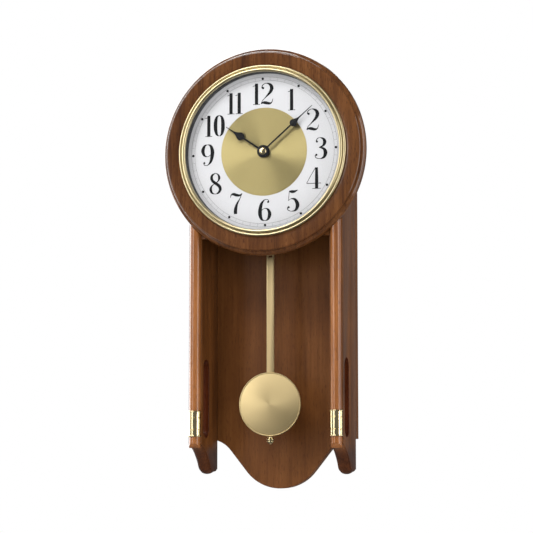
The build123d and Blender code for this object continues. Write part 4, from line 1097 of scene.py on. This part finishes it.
class CLOCK_OT_pendulum(bpy.types.Operator):
    """Domed bob with its bright rim, bevelled rod and the knurled rating nut"""

    bl_idname = "clock.pendulum"
    bl_label = "Pendulum"

    def execute(self, context):
        crown, rear, _, _ = span("pendulum_bob")
        edge = rear - 2.3
        disc_radius = BOB_RADIUS - 0.6
        dome_radius = disc_radius - 1.3
        rise = edge - crown
        sphere = (dome_radius ** 2 + rise ** 2) / (2 * rise)
        profile = [(0, rear), (disc_radius - 0.6, rear), (disc_radius - 0.15, rear - 0.3)]
        profile += [(disc_radius, rear - 0.8)] + arc(disc_radius - 0.75, edge + 0.2, 0.75, 0, -160, 8)
        for step in range(0, 25):
            radius = dome_radius * (1 - step / 24)
            profile.append((radius, crown + sphere - math.sqrt(sphere ** 2 - radius ** 2)))
        bob = turned("domed_bob", profile, BOB_HEIGHT)
        finished(bob, "pendulum", FINISH["bob_brass"], "pendulum_bob")

        front, rear, _, rod_top = span("pendulum_rod")
        rod_depth = (front + rear) / 2
        half, rod_bottom = 4.45, -322.0
        bar = [(half, rod_bottom), (half, rod_top), (-half, rod_top), (-half, rod_bottom)]
        window = [(2.3, -119.0), (2.3, -111.0), (-2.3, -111.0), (-2.3, -119.0)]
        rod = cut_plate("flat_rod", [bar, window], 1.8, 0.3, facing_matrix(rod_depth))
        stem_profile = [(0, -320.0), (1.1, -320.0), (1.1, -333.4), (0.8, -333.7), (0, -333.7)]
        stem = turned_upright("rod_stem", stem_profile, rod_depth, 24)
        finished(joined(rod, stem), "pendulum", FINISH["rod_brass"], "pendulum_rod")

        front, rear, bottom, top = span("rating_nut")
        tall = top - bottom
        profile = [(1.2, top), (2.9, top)]
        profile += arc(2.9, top - 0.09 * tall, 0.09 * tall, 90, -60, 5)
        profile += arc(4.15, top - 0.36 * tall, 0.70, 85, -85, 8)
        profile += [(4.0, top - 0.52 * tall)]
        profile += arc(3.75, top - 0.70 * tall, 0.62, 85, -85, 8)
        profile += [(3.2, bottom + 0.15), (1.2, bottom + 0.02)]
        nut = turned_upright("knurled_nut", profile, (front + rear) / 2)
        finished(nut, "rating_nut_body", FINISH["brass"], "rating_nut")
        return {"FINISHED"}


# ---------------------------------------------------------------- stage

# Soft lights as (name, place in metres, width and height, watts).
LIGHTS = (
    ("key_light", (-2.00, -2.20, 0.90), (1.8, 2.2), 30),
    ("fill_light", (0.80, -2.75, 0.35), (1.6, 1.6), 24),
    ("front_light", (-1.45, -2.30, 0.15), (0.6, 2.4), 15),
    ("left_light", (-2.2, 0.1, 0.4), (1.4, 2.4), 24),
    ("right_light", (2.25, -0.95, 0.0), (1.0, 2.4), 32),
    ("side_light", (2.2, 0.5, 0.0), (0.9, 2.4), 14),
    ("top_light", (-1.0, -2.5, 2.3), (1.6, 1.0), 76),
    ("back_light", (-1.25, 1.9, 0.6), (2.4, 3.0), 66),
    ("rim_light", (-2.1, 0.8, 0.5), (2.4, 3.0), 50),
    ("crown_light", (-0.5, 1.3, 2.1), (2.2, 1.6), 50))
NO_GLOSS = ("fill_light",)
ONLY_GLOSS = ("rim_light", "crown_light")
FLOOR_SIZE = 8.0
FLOOR_DROP = 1.2


class CLOCK_OT_stage(bpy.types.Operator):
    """Pale floor, soft lights and the camera"""

    bl_idname = "clock.stage"
    bl_label = "Stage"

    def execute(self, context):
        stage = context.scene.clock_stage
        scene = context.scene
        clear_selection()
        bpy.ops.mesh.primitive_plane_add(size=FLOOR_SIZE, location=(0, 0, cad_bounds[0].z - FLOOR_DROP))
        floor = context.view_layer.objects.active
        floor.name = "pale_floor"
        floor.visible_glossy = False
        paint = Recipe("pale_paint", (0.66, 0.66, 0.66), roughness=0.8)
        mottle = paint.speckle(3, 3, 0.5)
        paint.color(paint.ramp(mottle, (0.3, (0.64, 0.64, 0.64)), (0.7, (0.68, 0.68, 0.68))))
        set_inputs(paint.shader, {"Emission Color": (1.0, 1.0, 1.0, 1), "Emission Strength": 0.42})
        floor.data.materials.append(paint.material)

        world = bpy.data.worlds.new("pale_room")
        world.use_nodes = True
        scene.world = world
        nodes, links = world.node_tree.nodes, world.node_tree.links
        room, backdrop = nodes["Background"], nodes.new("ShaderNodeBackground")
        for background, strength in ((room, 0.15), (backdrop, 1.0)):
            set_inputs(background, {"Color": (1.0, 1.0, 1.0, 1), "Strength": strength})
        chooser = nodes.new("ShaderNodeMixShader")
        path = nodes.new("ShaderNodeLightPath")
        links.new(path.outputs["Is Camera Ray"], chooser.inputs[0])
        links.new(room.outputs[0], chooser.inputs[1])
        links.new(backdrop.outputs[0], chooser.inputs[2])
        links.new(chooser.outputs[0], nodes["World Output"].inputs["Surface"])

        aim = place(0, 40, -130)  # middle of the clock
        for name, position, size, power in LIGHTS:
            light = bpy.data.lights.new(name, "AREA")
            light.shape = "RECTANGLE"
            light.size, light.size_y = size
            light.energy = power
            lamp = bpy.data.objects.new(name, light)
            lamp.location = position
            lamp.rotation_euler = (aim - Vector(position)).to_track_quat("-Z", "Y").to_euler()
            scene.collection.objects.link(lamp)
            lamp.visible_camera = False
            lamp.visible_glossy = name not in NO_GLOSS
            lamp.visible_diffuse = name not in ONLY_GLOSS

        camera_data = bpy.data.cameras.new("camera")
        camera_data.lens = stage.lens
        camera_data.sensor_width = 36.0
        camera = bpy.data.objects.new("camera", camera_data)
        camera.location = (DIAL_X + stage.camera_x, FACE_Y - stage.camera_back, DIAL_Z - stage.camera_down)
        camera.rotation_euler = (math.pi / 2 + stage.tilt, 0, stage.turn)
        scene.collection.objects.link(camera)
        scene.camera = camera
        scene.view_settings.view_transform = "Standard"
        return {"FINISHED"}


PIECES = (CLOCK_OT_finishes, CLOCK_OT_wooden_case, CLOCK_OT_ferrules, CLOCK_OT_bezel, CLOCK_OT_dial_print,
          CLOCK_OT_hands, CLOCK_OT_pendulum, CLOCK_OT_stage)


class CLOCK_PT_panel(bpy.types.Panel):
    """Lists the clock's pieces in the sidebar"""

    bl_label = "Wall Clock"
    bl_idname = "CLOCK_PT_panel"
    bl_space_type = "VIEW_3D"
    bl_region_type = "UI"
    bl_category = "Wall Clock"

    def draw(self, context):
        for piece in PIECES:
            self.layout.operator(piece.bl_idname)


CLASSES = (ClockSizes, ClockFinishes, ClockStage) + PIECES + (CLOCK_PT_panel,)


def register():
    for item in CLASSES:
        bpy.utils.register_class(item)
    bpy.types.Scene.clock_sizes = bpy.props.PointerProperty(type=ClockSizes)
    bpy.types.Scene.clock_finishes = bpy.props.PointerProperty(type=ClockFinishes)
    bpy.types.Scene.clock_stage = bpy.props.PointerProperty(type=ClockStage)


def unregister():
    del bpy.types.Scene.clock_stage
    del bpy.types.Scene.clock_finishes
    del bpy.types.Scene.clock_sizes
    for item in reversed(CLASSES):
        bpy.utils.unregister_class(item)


def main():
    register()
    bpy.ops.clock.finishes()
    bpy.ops.clock.wooden_case()
    bpy.ops.clock.ferrules()
    bpy.ops.clock.bezel()
    bpy.ops.clock.dial_print()
    bpy.ops.clock.hands()
    bpy.ops.clock.pendulum()
    bpy.ops.clock.stage()
    bpy.context.view_layer.update()


if __name__ == "__main__":
    main()
